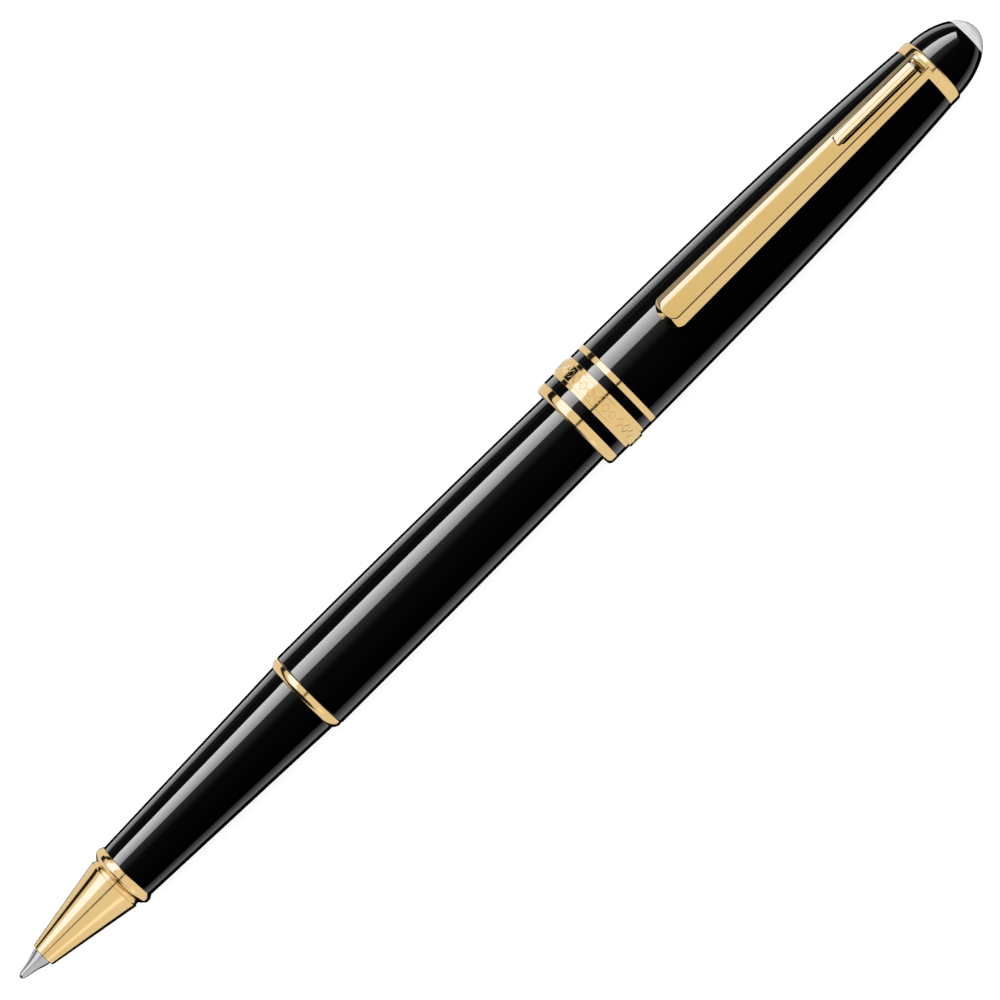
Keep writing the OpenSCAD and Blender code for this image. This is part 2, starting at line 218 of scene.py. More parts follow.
class Effects:
    """Builds each shared effect once, as a node group with named sockets."""

    _made: ClassVar[dict[Effect, bpy.types.NodeTree]] = {}

    @classmethod
    def group(cls, effect: Effect) -> bpy.types.NodeTree:
        """Gives the group for an effect, and builds it the first time.

        Args:
            effect: The effect wanted.

        Returns:
            Its node group.
        """
        if effect not in cls._made:
            builders = {
                Effect.GRAIN: cls._grain,
                Effect.HAIRLINES: cls._hairlines,
                Effect.TURNING: cls._turning,
                Effect.EDGE_WEAR: cls._edge_wear,
            }
            cls._made[effect] = builders[effect](effect.value)
        return cls._made[effect]

    @staticmethod
    def _open(name: str, inputs: dict[str, float],
              outputs: tuple[str, ...]) -> tuple[Sheet, bpy.types.Node, bpy.types.Node]:
        """Makes an empty group with its sockets.

        Args:
            name: The group's name.
            inputs: Each input's name and default.
            outputs: The outputs' names.

        Returns:
            The sheet, the group's input node and its output node.
        """
        tree = bpy.data.node_groups.new(name, "ShaderNodeTree")
        for label, value in inputs.items():
            socket = tree.interface.new_socket(label, in_out="INPUT", socket_type="NodeSocketFloat")
            socket.default_value = value
        for label in outputs:
            tree.interface.new_socket(label, in_out="OUTPUT", socket_type="NodeSocketFloat")
        sheet = Sheet(tree)
        return sheet, sheet.node("NodeGroupInput"), sheet.node("NodeGroupOutput")

    @classmethod
    def _grain(cls, name: str) -> bpy.types.NodeTree:
        """Makes the group of a fine grain and broad soft patches.

        Args:
            name: The group's name.

        Returns:
            The group.
        """
        sheet, given, out = cls._open(name, {"Fine Scale": 4000.0, "Patch Scale": 90.0},
                                      ("Fine", "Patches"))
        place = sheet.node("TexCoord").outputs["Object"]
        for label, source, detail in (("Fine", "Fine Scale", 3.0), ("Patches", "Patch Scale", 4.0)):
            noise = sheet.node("TexNoise")
            noise.inputs["Detail"].default_value = detail
            sheet.wire(place, noise.inputs["Vector"])
            sheet.wire(given.outputs[source], noise.inputs["Scale"])
            sheet.wire(noise.outputs["Fac"], out.inputs[label])
        return sheet.tree

    @classmethod
    def _hairlines(cls, name: str) -> bpy.types.NodeTree:
        """Makes the group of the faint scratches of handling, in two directions.

        Args:
            name: The group's name.

        Returns:
            The group.
        """
        sheet, given, out = cls._open(name, {"Scale": 60.0, "Amount": 0.5}, ("Mask",))
        place = sheet.node("TexCoord").outputs["Object"]
        layers = []
        for turn, stretch in ((0.35, (1.0, 30.0, 30.0)), (1.2, (2.0, 44.0, 44.0))):
            mapping = sheet.node("Mapping")
            mapping.inputs["Rotation"].default_value = (0.0, turn, turn / 2)
            mapping.inputs["Scale"].default_value = stretch
            sheet.wire(place, mapping.inputs["Vector"])
            noise = sheet.node("TexNoise")
            noise.inputs["Detail"].default_value = 1.0
            sheet.wire(mapping.outputs["Vector"], noise.inputs["Vector"])
            sheet.wire(given.outputs["Scale"], noise.inputs["Scale"])
            layers.append(sheet.ramp(noise.outputs["Fac"], 0.66, 0.74, 0.0, 1.0))
        both = sheet.sums("MAXIMUM", *layers)
        sheet.wire(sheet.sums("MULTIPLY", both, given.outputs["Amount"]), out.inputs["Mask"])
        return sheet.tree

    @classmethod
    def _turning(cls, name: str) -> bpy.types.NodeTree:
        """Makes the group of the rings that a lathe leaves across the pen's axis.

        Args:
            name: The group's name.

        Returns:
            The group.
        """
        sheet, given, out = cls._open(name, {"Scale": 9000.0}, ("Height",))
        place = sheet.node("SeparateXYZ")
        sheet.wire(sheet.node("TexCoord").outputs["Object"], place.inputs["Vector"])
        layers = []
        for share in (1.0, 0.21):
            noise = sheet.node("TexNoise", noise_dimensions="1D")
            noise.inputs["Detail"].default_value = 2.0
            scaled = sheet.sums("MULTIPLY", given.outputs["Scale"], share)
            sheet.wire(sheet.sums("MULTIPLY", place.outputs["X"], scaled), noise.inputs["W"])
            noise.inputs["Scale"].default_value = 1.0
            layers.append(noise.outputs["Fac"])
        sheet.wire(sheet.sums("MULTIPLY", sheet.sums("ADD", *layers), 0.5), out.inputs["Height"])
        return sheet.tree

    @classmethod
    def _edge_wear(cls, name: str) -> bpy.types.NodeTree:
        """Makes the group that finds the rubbed outer edges of a piece.

        Args:
            name: The group's name.

        Returns:
            The group.
        """
        sheet, given, out = cls._open(name, {"Amount": 0.5, "Break Up": 700.0}, ("Mask",))
        convex = sheet.ramp(sheet.node("NewGeometry").outputs["Pointiness"], 0.53, 0.62, 0.0, 1.0)
        noise = sheet.node("TexNoise")
        sheet.wire(sheet.node("TexCoord").outputs["Object"], noise.inputs["Vector"])
        sheet.wire(given.outputs["Break Up"], noise.inputs["Scale"])
        broken = sheet.ramp(noise.outputs["Fac"], 0.35, 0.65, 0.25, 1.0)
        worn = sheet.sums("MULTIPLY", convex, broken)
        sheet.wire(sheet.sums("MULTIPLY", worn, given.outputs["Amount"]), out.inputs["Mask"])
        return sheet.tree


# ---- Finishes ----

Colour = tuple[float, float, float]


class Receivers(Enum):
    """Which surfaces a studio light reaches."""

    RESIN = "resin_pieces"
    METAL = "metal_pieces"
    GOLD = "gold_pieces"
    CLIP = "clip_alone"
    STEEL = "steel_pieces"
    PALE = "pale_pieces"
    FLOOR = "floor_only"


PATCH_RANGE = (0.3, 0.7)
PATCH_DRIFT = 0.6
SCRATCH_ROUGHNESS = 0.16

DARK_LIT = (Receivers.RESIN,)
GOLD_LIT = (Receivers.METAL, Receivers.GOLD)
CLIP_LIT = (Receivers.CLIP,)
STEEL_LIT = (Receivers.METAL, Receivers.STEEL)
PALE_LIT = (Receivers.PALE,)


@dataclass(frozen=True)
class Finish:
    """A finish, with one material that is made when it is first used.

    Attributes:
        slot: The record's material slot.
        colour: The main base colour.
        second: The colour that the first drifts towards in patches and on worn edges.
        rough: Lowest and highest roughness over the patches.
        metallic: 1 for a metal, 0 for a plastic.
        scratch: How strongly hairline scratches show, from 0 to 1.
        wear: How strongly rubbed edges show, from 0 to 1.
        turned: Depth of the turning marks, in metres.
        grain: Depth of the fine grain, in metres.
        grain_scale: Scale of the fine grain.
        subsurface: Share of light that enters the surface.
        coat: Weight of a clear coat.
        lit_by: The groups of studio lights that reach it.
    """

    slot: str
    colour: Colour
    second: Colour
    rough: Point
    metallic: float = 0.0
    scratch: float = 0.3
    wear: float = 0.0
    turned: float = 0.0
    grain: float = 0.0
    grain_scale: float = 4000.0
    subsurface: float = 0.0
    coat: float = 0.0
    lit_by: tuple[Receivers, ...] = DARK_LIT

    def material(self) -> bpy.types.Material:
        """Returns the finish's material, and makes it the first time."""
        name = f"{self.slot}_finish"
        return bpy.data.materials.get(name) or self._make(name)

    def _make(self, name: str) -> bpy.types.Material:
        """Wires up the material.

        Args:
            name: The material's name.

        Returns:
            The new material.
        """
        made = bpy.data.materials.new(name)
        made.use_nodes = True
        made.diffuse_color = (*self.colour, 1.0)
        sheet = Sheet(made.node_tree)
        shader = sheet.node("BsdfPrincipled")
        sheet.wire(shader.outputs["BSDF"], sheet.node("OutputMaterial").inputs["Surface"])
        self._set_constants(shader)
        grain = self._effect(sheet, Effect.GRAIN, {"Fine Scale": self.grain_scale})
        lines = self._effect(sheet, Effect.HAIRLINES, {"Amount": self.scratch})
        wear = self._effect(sheet, Effect.EDGE_WEAR, {"Amount": self.wear})
        drift = sheet.ramp(grain.outputs["Patches"], *PATCH_RANGE, 0.0, PATCH_DRIFT)
        mix = sheet.node("Mix", data_type="RGBA")
        mix.inputs["A"].default_value = (*self.colour, 1.0)
        mix.inputs["B"].default_value = (*self.second, 1.0)
        sheet.wire(sheet.sums("MAXIMUM", drift, wear.outputs["Mask"]), mix.inputs["Factor"])
        sheet.wire(mix.outputs["Result"], shader.inputs["Base Color"])
        patches = sheet.ramp(grain.outputs["Patches"], *PATCH_RANGE, *self.rough)
        scratched = sheet.ramp(lines.outputs["Mask"], 0.0, 1.0, 0.0, SCRATCH_ROUGHNESS)
        sheet.wire(sheet.sums("ADD", patches, scratched), shader.inputs["Roughness"])
        self._relief(sheet, shader, grain)
        return made

    def _set_constants(self, shader: bpy.types.Node) -> None:
        """Sets the values that are the same all over the surface.

        Args:
            shader: The principled shader.
        """
        shader.inputs["Metallic"].default_value = self.metallic
        shader.inputs["Subsurface Weight"].default_value = self.subsurface
        shader.inputs["Subsurface Scale"].default_value = MM
        shader.inputs["Coat Weight"].default_value = self.coat

    @staticmethod
    def _effect(sheet: Sheet, effect: Effect, values: dict[str, float]) -> bpy.types.Node:
        """Places a shared effect with its own values.

        Args:
            sheet: The material's sheet.
            effect: The effect.
            values: Each input's name and value.

        Returns:
            The group node.
        """
        made = sheet.node("Group", node_tree=Effects.group(effect))
        for name, value in values.items():
            made.inputs[name].default_value = value
        return made

    def _relief(self, sheet: Sheet, shader: bpy.types.Node, grain: bpy.types.Node) -> None:
        """Adds the bump of the grain and of the turning marks.

        Args:
            sheet: The material's sheet.
            shader: The principled shader.
            grain: The placed grain effect.
        """
        last = None
        heights = [(grain.outputs["Fine"], self.grain)]
        if self.turned:
            marks = self._effect(sheet, Effect.TURNING, {})
            heights.append((marks.outputs["Height"], self.turned))
        for height, depth in heights:
            if not depth:
                continue
            bump = sheet.node("Bump")
            bump.inputs["Distance"].default_value = depth
            sheet.wire(height, bump.inputs["Height"])
            if last:
                sheet.wire(last.outputs["Normal"], bump.inputs["Normal"])
            last = bump
        if last:
            sheet.wire(last.outputs["Normal"], shader.inputs["Normal"])


RESIN = Finish("resin", (0.0008, 0.0008, 0.0009), (0.0016, 0.0016, 0.0018), (0.03, 0.05),
               scratch=0.35, wear=0.1, grain=4e-8, grain_scale=2200.0)
GILT = Finish("gilt", (0.93, 0.64, 0.27), (0.96, 0.70, 0.34), (0.085, 0.13), metallic=1.0,
              scratch=0.4, wear=0.7, turned=1.2e-7, lit_by=GOLD_LIT)
CLIP_GILT = replace(GILT, lit_by=CLIP_LIT)
RAW_BRASS = Finish("raw_brass", (0.62, 0.43, 0.18), (0.72, 0.54, 0.27), (0.2, 0.32), metallic=1.0,
                   scratch=0.6, wear=0.6, turned=1.5e-6, lit_by=GOLD_LIT)
POINT_STEEL = Finish("point_steel", (0.56, 0.56, 0.57), (0.66, 0.66, 0.67), (0.18, 0.24),
                     metallic=1.0, scratch=0.5, wear=0.6, turned=5e-7, lit_by=STEEL_LIT)
BALL = Finish("ball", (0.16, 0.16, 0.17), (0.24, 0.24, 0.25), (0.12, 0.2), metallic=1.0,
              grain=3e-7, grain_scale=20000.0, lit_by=STEEL_LIT)
TUBE_STEEL = Finish("tube_steel", (0.56, 0.57, 0.58), (0.66, 0.67, 0.68), (0.22, 0.3),
                    metallic=1.0, scratch=0.6, turned=4e-7, lit_by=STEEL_LIT)
SPRING_STEEL = Finish("spring_steel", (0.5, 0.52, 0.54), (0.62, 0.64, 0.66), (0.16, 0.26),
                      metallic=1.0, scratch=0.7, lit_by=STEEL_LIT)
COLLAR_PLASTIC = Finish("collar_plastic", (0.78, 0.78, 0.75), (0.7, 0.69, 0.65), (0.35, 0.45),
                        grain=6e-7, grain_scale=9000.0, subsurface=0.1, lit_by=PALE_LIT)
LINER_PLASTIC = Finish("liner_plastic", (0.03, 0.03, 0.033), (0.05, 0.05, 0.055), (0.38, 0.5),
                       grain=8e-7, grain_scale=9000.0)
INK_FIBRE = Finish("ink_fibre", (0.01, 0.014, 0.1), (0.03, 0.04, 0.2), (0.7, 0.9),
                   grain=6e-6, grain_scale=6000.0, lit_by=PALE_LIT)
PEARL = Finish("pearl", (0.80, 0.80, 0.79), (0.72, 0.73, 0.74), (0.08, 0.14), scratch=0.15,
               subsurface=0.15, coat=0.5, grain=6e-8, grain_scale=1800.0, lit_by=PALE_LIT)


# ---- The bench: modelling by hand, and fitting to the frame ----

def deselect() -> None:
    """Deselects every object, so that an operator meets only what is added next."""
    bpy.ops.object.select_all(action="DESELECT")


def pick(*pieces: bpy.types.Object) -> None:
    """Selects these objects alone and makes the first one active.

    Args:
        *pieces: The objects to select.
    """
    deselect()
    for piece in pieces:
        piece.select_set(True)
    bpy.context.view_layer.objects.active = pieces[0]


def edit(piece: bpy.types.Object, mode: str = "VERT") -> None:
    """Enters edit mode on one piece, with all of it selected.

    Args:
        piece: The piece.
        mode: VERT, EDGE or FACE.
    """
    pick(piece)
    bpy.ops.object.mode_set(mode="EDIT")
    bpy.ops.mesh.select_mode(type=mode)
    bpy.ops.mesh.select_all(action="SELECT")


def done() -> None:
    """Leaves edit mode."""
    bpy.ops.object.mode_set(mode="OBJECT")


def select_where(piece: bpy.types.Object, test: Callable[[Vector], bool],
                 part: str = "VERT") -> None:
    """Enters edit mode with only the elements at some places selected.

    Args:
        piece: The piece, whose object sits at the origin.
        test: Says whether a place in the row frame is wanted.
        part: VERT, EDGE or FACE, judged at its middle.
    """
    edit(piece, part)
    bpy.ops.mesh.select_all(action="DESELECT")
    done()
    mesh = piece.data
    if part == "VERT":
        for vertex in mesh.vertices:
            vertex.select = test(vertex.co)
    elif part == "EDGE":
        for line in mesh.edges:
            ends = [mesh.vertices[i].co for i in line.vertices]
            line.select = test((ends[0] + ends[1]) / 2)
    else:
        for face in mesh.polygons:
            face.select = test(face.center)
    bpy.ops.object.mode_set(mode="EDIT")


def place() -> None:
    """Moves the active object's place, turn and scale into its mesh."""
    bpy.ops.object.transform_apply(location=True, rotation=True, scale=True)


def use_modifier(piece: bpy.types.Object, kind: str, **settings: object) -> None:
    """Adds a modifier and applies it.

    Args:
        piece: The piece.
        kind: The modifier's type.
        **settings: Its properties.
    """
    pick(piece)
    made = piece.modifiers.new(kind.lower(), kind)
    for name, value in settings.items():
        setattr(made, name, value)
    bpy.ops.object.modifier_apply(modifier=made.name)


def close_up(piece: bpy.types.Object) -> None:
    """Merges doubled points and turns every face outwards.

    Args:
        piece: The piece.
    """
    edit(piece)
    bpy.ops.mesh.remove_doubles(threshold=MERGE)
    bpy.ops.mesh.normals_make_consistent(inside=False)
    done()


def ease_edges(piece: bpy.types.Object, width: float, angle: float = 24.0, segments: int = 3,
               clamp: bool = True) -> None:
    """Rounds the hard edges.

    Args:
        piece: The piece.
        width: The rounding's width, in mm.
        angle: The least angle of an edge that is rounded, in degrees.
        segments: Steps across the rounding.
        clamp: Whether a short edge nearby holds the rounding back.
    """
    use_modifier(piece, "BEVEL", width=width * MM, segments=segments, limit_method="ANGLE",
                 angle_limit=math.radians(angle), use_clamp_overlap=clamp)


def smooth(piece: bpy.types.Object, angle: float = 38.0) -> None:
    """Shades a piece smooth, with flats kept flat beside their rounded edges.

    Args:
        piece: The piece.
        angle: Edges sharper than this stay sharp, in degrees.
    """
    pick(piece)
    bpy.ops.object.shade_smooth_by_angle(angle=math.radians(angle))
    use_modifier(piece, "WEIGHTED_NORMAL", keep_sharp=True)


@dataclass
class Bench:
    """The modeller's bench: a lathe on the pen's axis, and the fitting of finished pieces.

    Attributes:
        axis: Height of the pen's axis, in mm.
        segments: Facets round a turned piece.
        dressed: The pieces that are fitted so far, with their finishes.
    """

    axis: float
    segments: int = 160
    dressed: list[tuple[bpy.types.Object, Finish]] = field(default_factory=list)

    def trace(self, name: str, points: list[Vector]) -> bpy.types.Object:
        """Draws a line of edges by pulling one point along from place to place.

        Args:
            name: The new object's name.
            points: The places, in mm in the row frame.

        Returns:
            The object, with its place in its mesh.
        """
        deselect()
        bpy.ops.mesh.primitive_plane_add(size=MM, location=points[0] * MM)
        piece = bpy.context.active_object
        piece.name = name
        edit(piece)
        bpy.ops.mesh.merge(type="CENTER")
        for here, there in zip(points, points[1:]):
            step = (there - here) * MM
            bpy.ops.mesh.extrude_vertices_move(TRANSFORM_OT_translate={"value": step})
        done()
        place()
        return piece

    def turn(self, name: str, outline: Outline, edge: float = 0.05,
             segments: int | None = None) -> bpy.types.Object:
        """Turns a closed outline about the pen's axis.

        Args:
            name: The piece's name.
            outline: Points of (station, radius) in mm. An outline that doesn't start on the axis is
                a ring, and is closed.
            edge: Width of the rounding of its hard edges, in mm.
            segments: Facets round it, or None for the bench's own.

        Returns:
            The closed piece.
        """
        if outline[0][1] > 0:
            outline = [*outline, outline[0]]
        piece = self.trace(name, [Vector((x, 0, self.axis + r)) for x, r in outline])
        edit(piece)
        bpy.ops.mesh.spin(steps=segments or self.segments, angle=math.tau,
                          center=(0, 0, self.axis * MM), axis=(1, 0, 0))
        done()
        close_up(piece)
        if edge:
            ease_edges(piece, edge)
        return piece

    def helix(self, name: str, profile: list[Point], start: float, pitch: float,
              turns: float, steps: int = 64) -> bpy.types.Object:
        """Sweeps a closed profile along a screw line about the pen's axis.

        Args:
            name: The piece's name.
            profile: Points of (offset along the pen, radius) in mm.
            start: Station of the sweep's start, in mm.
            pitch: Advance of one turn, in mm.
            turns: Number of turns.
            steps: Steps in a turn.

        Returns:
            The closed coil.
        """
        ring = [*profile, profile[0]]
        piece = self.trace(name, [Vector((start + x, 0, self.axis + r)) for x, r in ring])
        edit(piece)
        bpy.ops.mesh.remove_doubles(threshold=MERGE)
        done()
        bpy.context.scene.cursor.location = (0, 0, self.axis * MM)
        bpy.ops.object.origin_set(type="ORIGIN_CURSOR")
        use_modifier(piece, "SCREW", axis="X", angle=math.tau * turns, steps=round(steps * turns),
                     render_steps=round(steps * turns), screw_offset=pitch * turns * MM,
                     use_merge_vertices=False)
        place()
        edit(piece)
        bpy.ops.mesh.select_all(action="DESELECT")
        bpy.ops.mesh.select_non_manifold()
        bpy.ops.mesh.fill_holes(sides=0)
        done()
        close_up(piece)
        return piece

    def block(self, name: str, low: Vector, high: Vector) -> bpy.types.Object:
        """Adds a rectangular block as a start for shaping.

        Args:
            name: Its name.
            low: Its lowest corner, in mm.
            high: Its highest corner, in mm.

        Returns:
            The block, with its place in its mesh.
        """
        deselect()
        bpy.ops.mesh.primitive_cube_add(size=1, location=(low + high) / 2 * MM)
        piece = bpy.context.active_object
        piece.name = name
        piece.scale = (high - low) * MM
        place()
        return piece

    def cut(self, piece: bpy.types.Object, cutter: bpy.types.Object) -> None:
        """Cuts one solid out of another and throws the cutter away.

        Args:
            piece: The piece to cut.
            cutter: The solid to take away.
        """
        use_modifier(piece, "BOOLEAN", operation="DIFFERENCE", object=cutter, solver="EXACT",
                     use_self=True)
        bpy.data.objects.remove(cutter)

    def join(self, piece: bpy.types.Object, *others: bpy.types.Object) -> None:
        """Makes several closed shells one piece.

        Args:
            piece: The piece that the others join.
            *others: The shells.
        """
        pick(piece, *others)
        bpy.ops.object.join()

    def fit(self, piece: bpy.types.Object, node: str, finish: Finish, angle: float = 38.0) -> None:
        """Smooths and dresses a finished piece and puts it in the place of its node.

        Args:
            piece: The piece.
            node: The frame's node that it stands for.
            finish: Its finish.
            angle: Edges sharper than this stay sharp, in degrees.
        """
        smooth(piece, angle)
        piece.data.materials.clear()
        piece.data.materials.append(finish.material())
        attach(piece, body_of(node))
        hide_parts(node)
        self.dressed.append((piece, finish))
        log.info("%s: %d faces, %s", node, len(piece.data.polygons), finish.slot)

    def turn_to_fit(self, name: str, outline: Outline, node: str, finish: Finish,
                    edge: float = 0.05, segments: int | None = None) -> None:
        """Turns a piece that needs no other work, and fits it.

        Args:
            name: The piece's name.
            outline: Points of (station, radius) in mm, as turn takes them.
            node: The frame's node that it stands for.
            finish: Its finish.
            edge: Width of the rounding of its hard edges, in mm.
            segments: Facets round it, or None for the bench's own.
        """
        self.fit(self.turn(name, outline, edge, segments), node, finish)

    def dress(self, node: str, finish: Finish) -> None:
        """Gives a node of the frame, kept as it is, its finish.

        Args:
            node: The node's name.
            finish: Its finish.
        """
        kept = frame["nodes"][node]
        kept.data.materials.clear()
        kept.data.materials.append(finish.material())
        self.dressed.append((kept, finish))
        log.info("%s: kept from the frame, %s", node, finish.slot)


def along(start: float, end: float, count: int) -> list[float]:
    """Returns evenly spaced stations from start to end, both included."""
    return [start + (end - start) * i / count for i in range(count + 1)]


def rounding(x: float, radius: float, length: float, depth: float, steps: int = 8) -> Outline:
    """Draws a quarter-round corner of an outline.

    Args:
        x: Station of the face that it starts on, in mm.
        radius: Radius that it rises to, in mm.
        length: Its length along the pen, in mm, below 0 for a corner at the rear.
        depth: How far below that radius it starts, in mm.
        steps: Steps along it.

    Returns:
        Its points, from the face to the radius.
    """
    return [(x + length * (1 - math.cos(a)), radius - depth * (1 - math.sin(a)))
            for a in along(0, math.pi / 2, steps)]


# ---- Sub-assemblies ----

@dataclass
class Refill:
    """The drop-in refill: ball, steel point, collar, tube, ink and plug. Sizes in mm."""

    bench: Bench
    ball_rings: int = 20
    ball_segments: int = 48
    socket_lip: float = 0.42
    socket_reach: float = 0.3
    slim_radius: float = 0.77
    slim_length: float = 2.07
    shoulder_length: float = 3.2
    shoulder_radius: float = 1.15
    point_reach: float = 3.7
    feed_bore: float = 0.25
    collar_radius: float = 1.75
    collar_nose: float = 0.4
    flange: float = 0.8
    tube_wall: float = 0.33
    dimple_radius: float = 1.2
    dimple_depth: float = 0.3

    @property
    def spigot(self) -> float:
        """Radius of what is pressed into either end of the tube."""
        return Span.of("refill_tube").radius - self.tube_wall

    def build(self) -> None:
        """Models the refill's visible pieces and dresses the rest."""
        self._ball()
        self._point()
        self._collar()
        self._plug()
        self.bench.dress("refill_tube", TUBE_STEEL)
        self.bench.dress("ink_reservoir", INK_FIBRE)
        self.bench.dress("ink_feed", INK_FIBRE)

    def _ball(self) -> None:
        """Turns the writing ball from a half circle."""
        span = Span.of("writing_ball")
        middle = (span.front + span.back) / 2
        radius = (span.back - span.front) / 2
        half_turn = along(0, math.pi, self.ball_rings)
        outline = [(middle - radius * math.cos(a), radius * math.sin(a)) for a in half_turn[1:-1]]
        outline = [(span.front, 0.0), *outline, (span.back, 0.0)]
        self.bench.turn_to_fit("ball_piece", outline, "writing_ball", BALL, 0,
                               self.ball_segments)

    def _point(self) -> None:
        """Turns the steel point: socket, slim tip, swelling cone and shank."""
        ball = Span.of("writing_ball")
        span = Span.of("refill_point")
        tip = ball.front
        ball_radius = (ball.back - ball.front) / 2
        seat = span.front + 0.02
        swell = [(tip + x, self._swell(x)) for x in along(0.55, self.point_reach, 14)]
        outline = [
            (ball.back + 0.05, 0.0), (ball.back, self.feed_bore),
            (tip + ball_radius, ball_radius + 0.03), (seat, ball_radius),
            (span.front, self.socket_lip - 0.05), (seat + 0.08, self.socket_lip),
            *swell, (span.back, span.radius), (span.back, 0.0),
        ]
        self.bench.turn_to_fit("point_piece", outline, "refill_point", POINT_STEEL, 0.02)

    def _swell(self, x: float) -> float:
        """Works out the steel point's radius, slightly convex.

        Args:
            x: Distance from the ball's front, in mm.

        Returns:
            The radius there, in mm.
        """
        points = [(self.socket_reach, self.socket_lip), (self.slim_length, self.slim_radius),
                  (self.shoulder_length, self.shoulder_radius),
                  (self.point_reach, Span.of("refill_point").radius)]
        for (x0, r0), (x1, r1) in zip(points, points[1:]):
            if x <= x1:
                share = (x - x0) / (x1 - x0)
                return r0 + (r1 - r0) * share
        return points[-1][1]

    def _collar(self) -> None:
        """Turns the collar with its rounded nose."""
        span = Span.of("refill_collar")
        tube = Span.of("refill_tube")
        flange = tube.front - self.flange
        outline = [
            (span.front, 0.0), (span.front, self.collar_radius - 0.3),
            (span.front + self.collar_nose, self.collar_radius), (flange - 0.5, self.collar_radius),
            (flange, self.collar_radius + 0.2), (flange, tube.radius), (tube.front, tube.radius),
            (tube.front, self.spigot), (span.back, self.spigot), (span.back, 0.0),
        ]
        self.bench.turn_to_fit("collar_piece", outline, "refill_collar", COLLAR_PLASTIC)

    def _plug(self) -> None:
        """Turns the end plug, with a dimple where the spring sits."""
        span = Span.of("refill_end_plug")
        tube = Span.of("refill_tube")
        floor = span.back - self.dimple_depth
        outline = [
            (span.front, 0.0), (span.front, self.spigot), (tube.back, self.spigot),
            (tube.back, span.radius), (span.back, span.radius), (span.back, self.dimple_radius),
            (floor, self.dimple_radius - 0.2), (floor, 0.0),
        ]
        self.bench.turn_to_fit("plug_piece", outline, "refill_end_plug", LINER_PLASTIC)


@dataclass
class FrontSection:
    """The nose cone, grip, threaded sleeve and centre ring. Sizes in mm."""

    bench: Bench
    mouth_radius: float = 1.59
    mouth_bore: float = 1.28
    mouth_round: float = 0.16
    cone_length: float = 12.1
    cone_radius: float = 3.6
    groove_start: float = 0.62
    groove_width: float = 0.6
    groove_depth: float = 0.17
    hollow_start: float = 5.6
    hollow_radius: float = 2.0
    flange_length: float = 1.5
    flange_radius: float = 4.1
    grip_front: float = 3.8
    grip_rear: float = 4.84
    bore: float = 3.2
    sleeve_seat: float = 3.87
    sleeve_radius: float = 3.85
    ring_bore: float = 4.2
    thread_pitch: float = 1.0
    thread_depth: float = 0.2
    thread_start: float = 0.7

    def build(self) -> None:
        """Models the four pieces."""
        self._nose()
        self._grip()
        self._sleeve()
        self._ring()

    def _nose(self) -> None:
        """Turns the gilt nose: rounded mouth, cone, groove, flange and tenon."""
        span = Span.of("nose_cone")
        front = span.front
        flange = front + self.cone_length
        rear = flange + self.flange_length
        groove = flange - self.groove_start
        half = self.groove_width / 2
        brim = self.cone_radius - 0.05
        lip = rounding(front, self.mouth_radius, self.mouth_round, self.mouth_round, 5)
        start = lip[-1][0]
        slope = (brim - self.mouth_radius) / (groove - start)
        cone = [(x, self.mouth_radius + slope * (x - start)) for x in along(start, groove, 12)[1:]]
        hollow = [(groove + half - half * math.cos(a), brim - self.groove_depth * math.sin(a))
                  for a in along(0, math.pi, 8)[1:]]
        outline = [
            (front, self.mouth_bore), *lip, *cone, *hollow,
            (flange + 0.02, self.cone_radius + 0.02),
            (flange + 0.5, self.flange_radius - 0.03), (flange + 0.62, self.flange_radius),
            (rear - 0.45, self.flange_radius), (rear, self.grip_front + 0.06),
            (rear, self.bore - 0.02), (span.back, self.bore - 0.02),
            (span.back, self.hollow_radius), (front + self.hollow_start, self.hollow_radius),
            (front + self.hollow_start - 0.2, self.mouth_bore),
        ]
        self.bench.turn_to_fit("nose_piece", outline, "nose_cone", GILT, 0.04)

    def _grip(self) -> None:
        """Turns the black grip, a slim cone with a seat for the sleeve."""
        span = Span.of("grip_section")
        sleeve = Span.of("threaded_sleeve")
        slope = (self.grip_rear - self.grip_front) / (span.back - span.front)
        skin = [(x, self.grip_front + slope * (x - span.front))
                for x in along(span.front, span.back, 24)]
        outline = [(span.front, self.bore), *skin, (span.back, self.sleeve_seat),
                   (sleeve.front, self.sleeve_seat), (sleeve.front, self.bore)]
        self.bench.turn_to_fit("grip_piece", outline, "grip_section", RESIN, 0.04)

    def _sleeve(self) -> None:
        """Turns the brass sleeve and winds its thread."""
        span = Span.of("threaded_sleeve")
        grip = Span.of("grip_section")
        core = span.radius - self.thread_depth
        neck = grip.back + self.thread_start
        outline = [
            (span.front, self.bore), (span.front, self.sleeve_radius),
            (grip.back, self.sleeve_radius), (grip.back, core), (span.back - 0.2, core),
            (span.back, core - 0.15), (span.back, self.bore),
        ]
        sleeve = self.bench.turn("sleeve_piece", outline, edge=0.04)
        half = self.thread_pitch * 0.36
        ridge = [(-half, core - 0.04), (-0.1, span.radius - 0.01), (0.1, span.radius - 0.01),
                 (half, core - 0.04)]
        turns = (span.back - 0.5 - neck - half) / self.thread_pitch
        thread = self.bench.helix("thread", ridge, neck + half, self.thread_pitch, turns)
        self.bench.join(sleeve, thread)
        self.bench.fit(sleeve, "threaded_sleeve", RAW_BRASS)

    def _ring(self) -> None:
        """Turns the gilt centre ring with its chamfered front."""
        span = Span.of("centre_ring")
        front = self.grip_rear - 0.04
        outline = [
            (span.front, self.ring_bore), (span.front, front), (span.front + 0.32, front + 0.27),
            (span.front + 0.57, span.radius - 0.04), (span.front + 0.72, span.radius),
            (span.back, span.radius), (span.back, self.ring_bore),
        ]
        self.bench.turn_to_fit("ring_piece", outline, "centre_ring", GILT, 0.035)


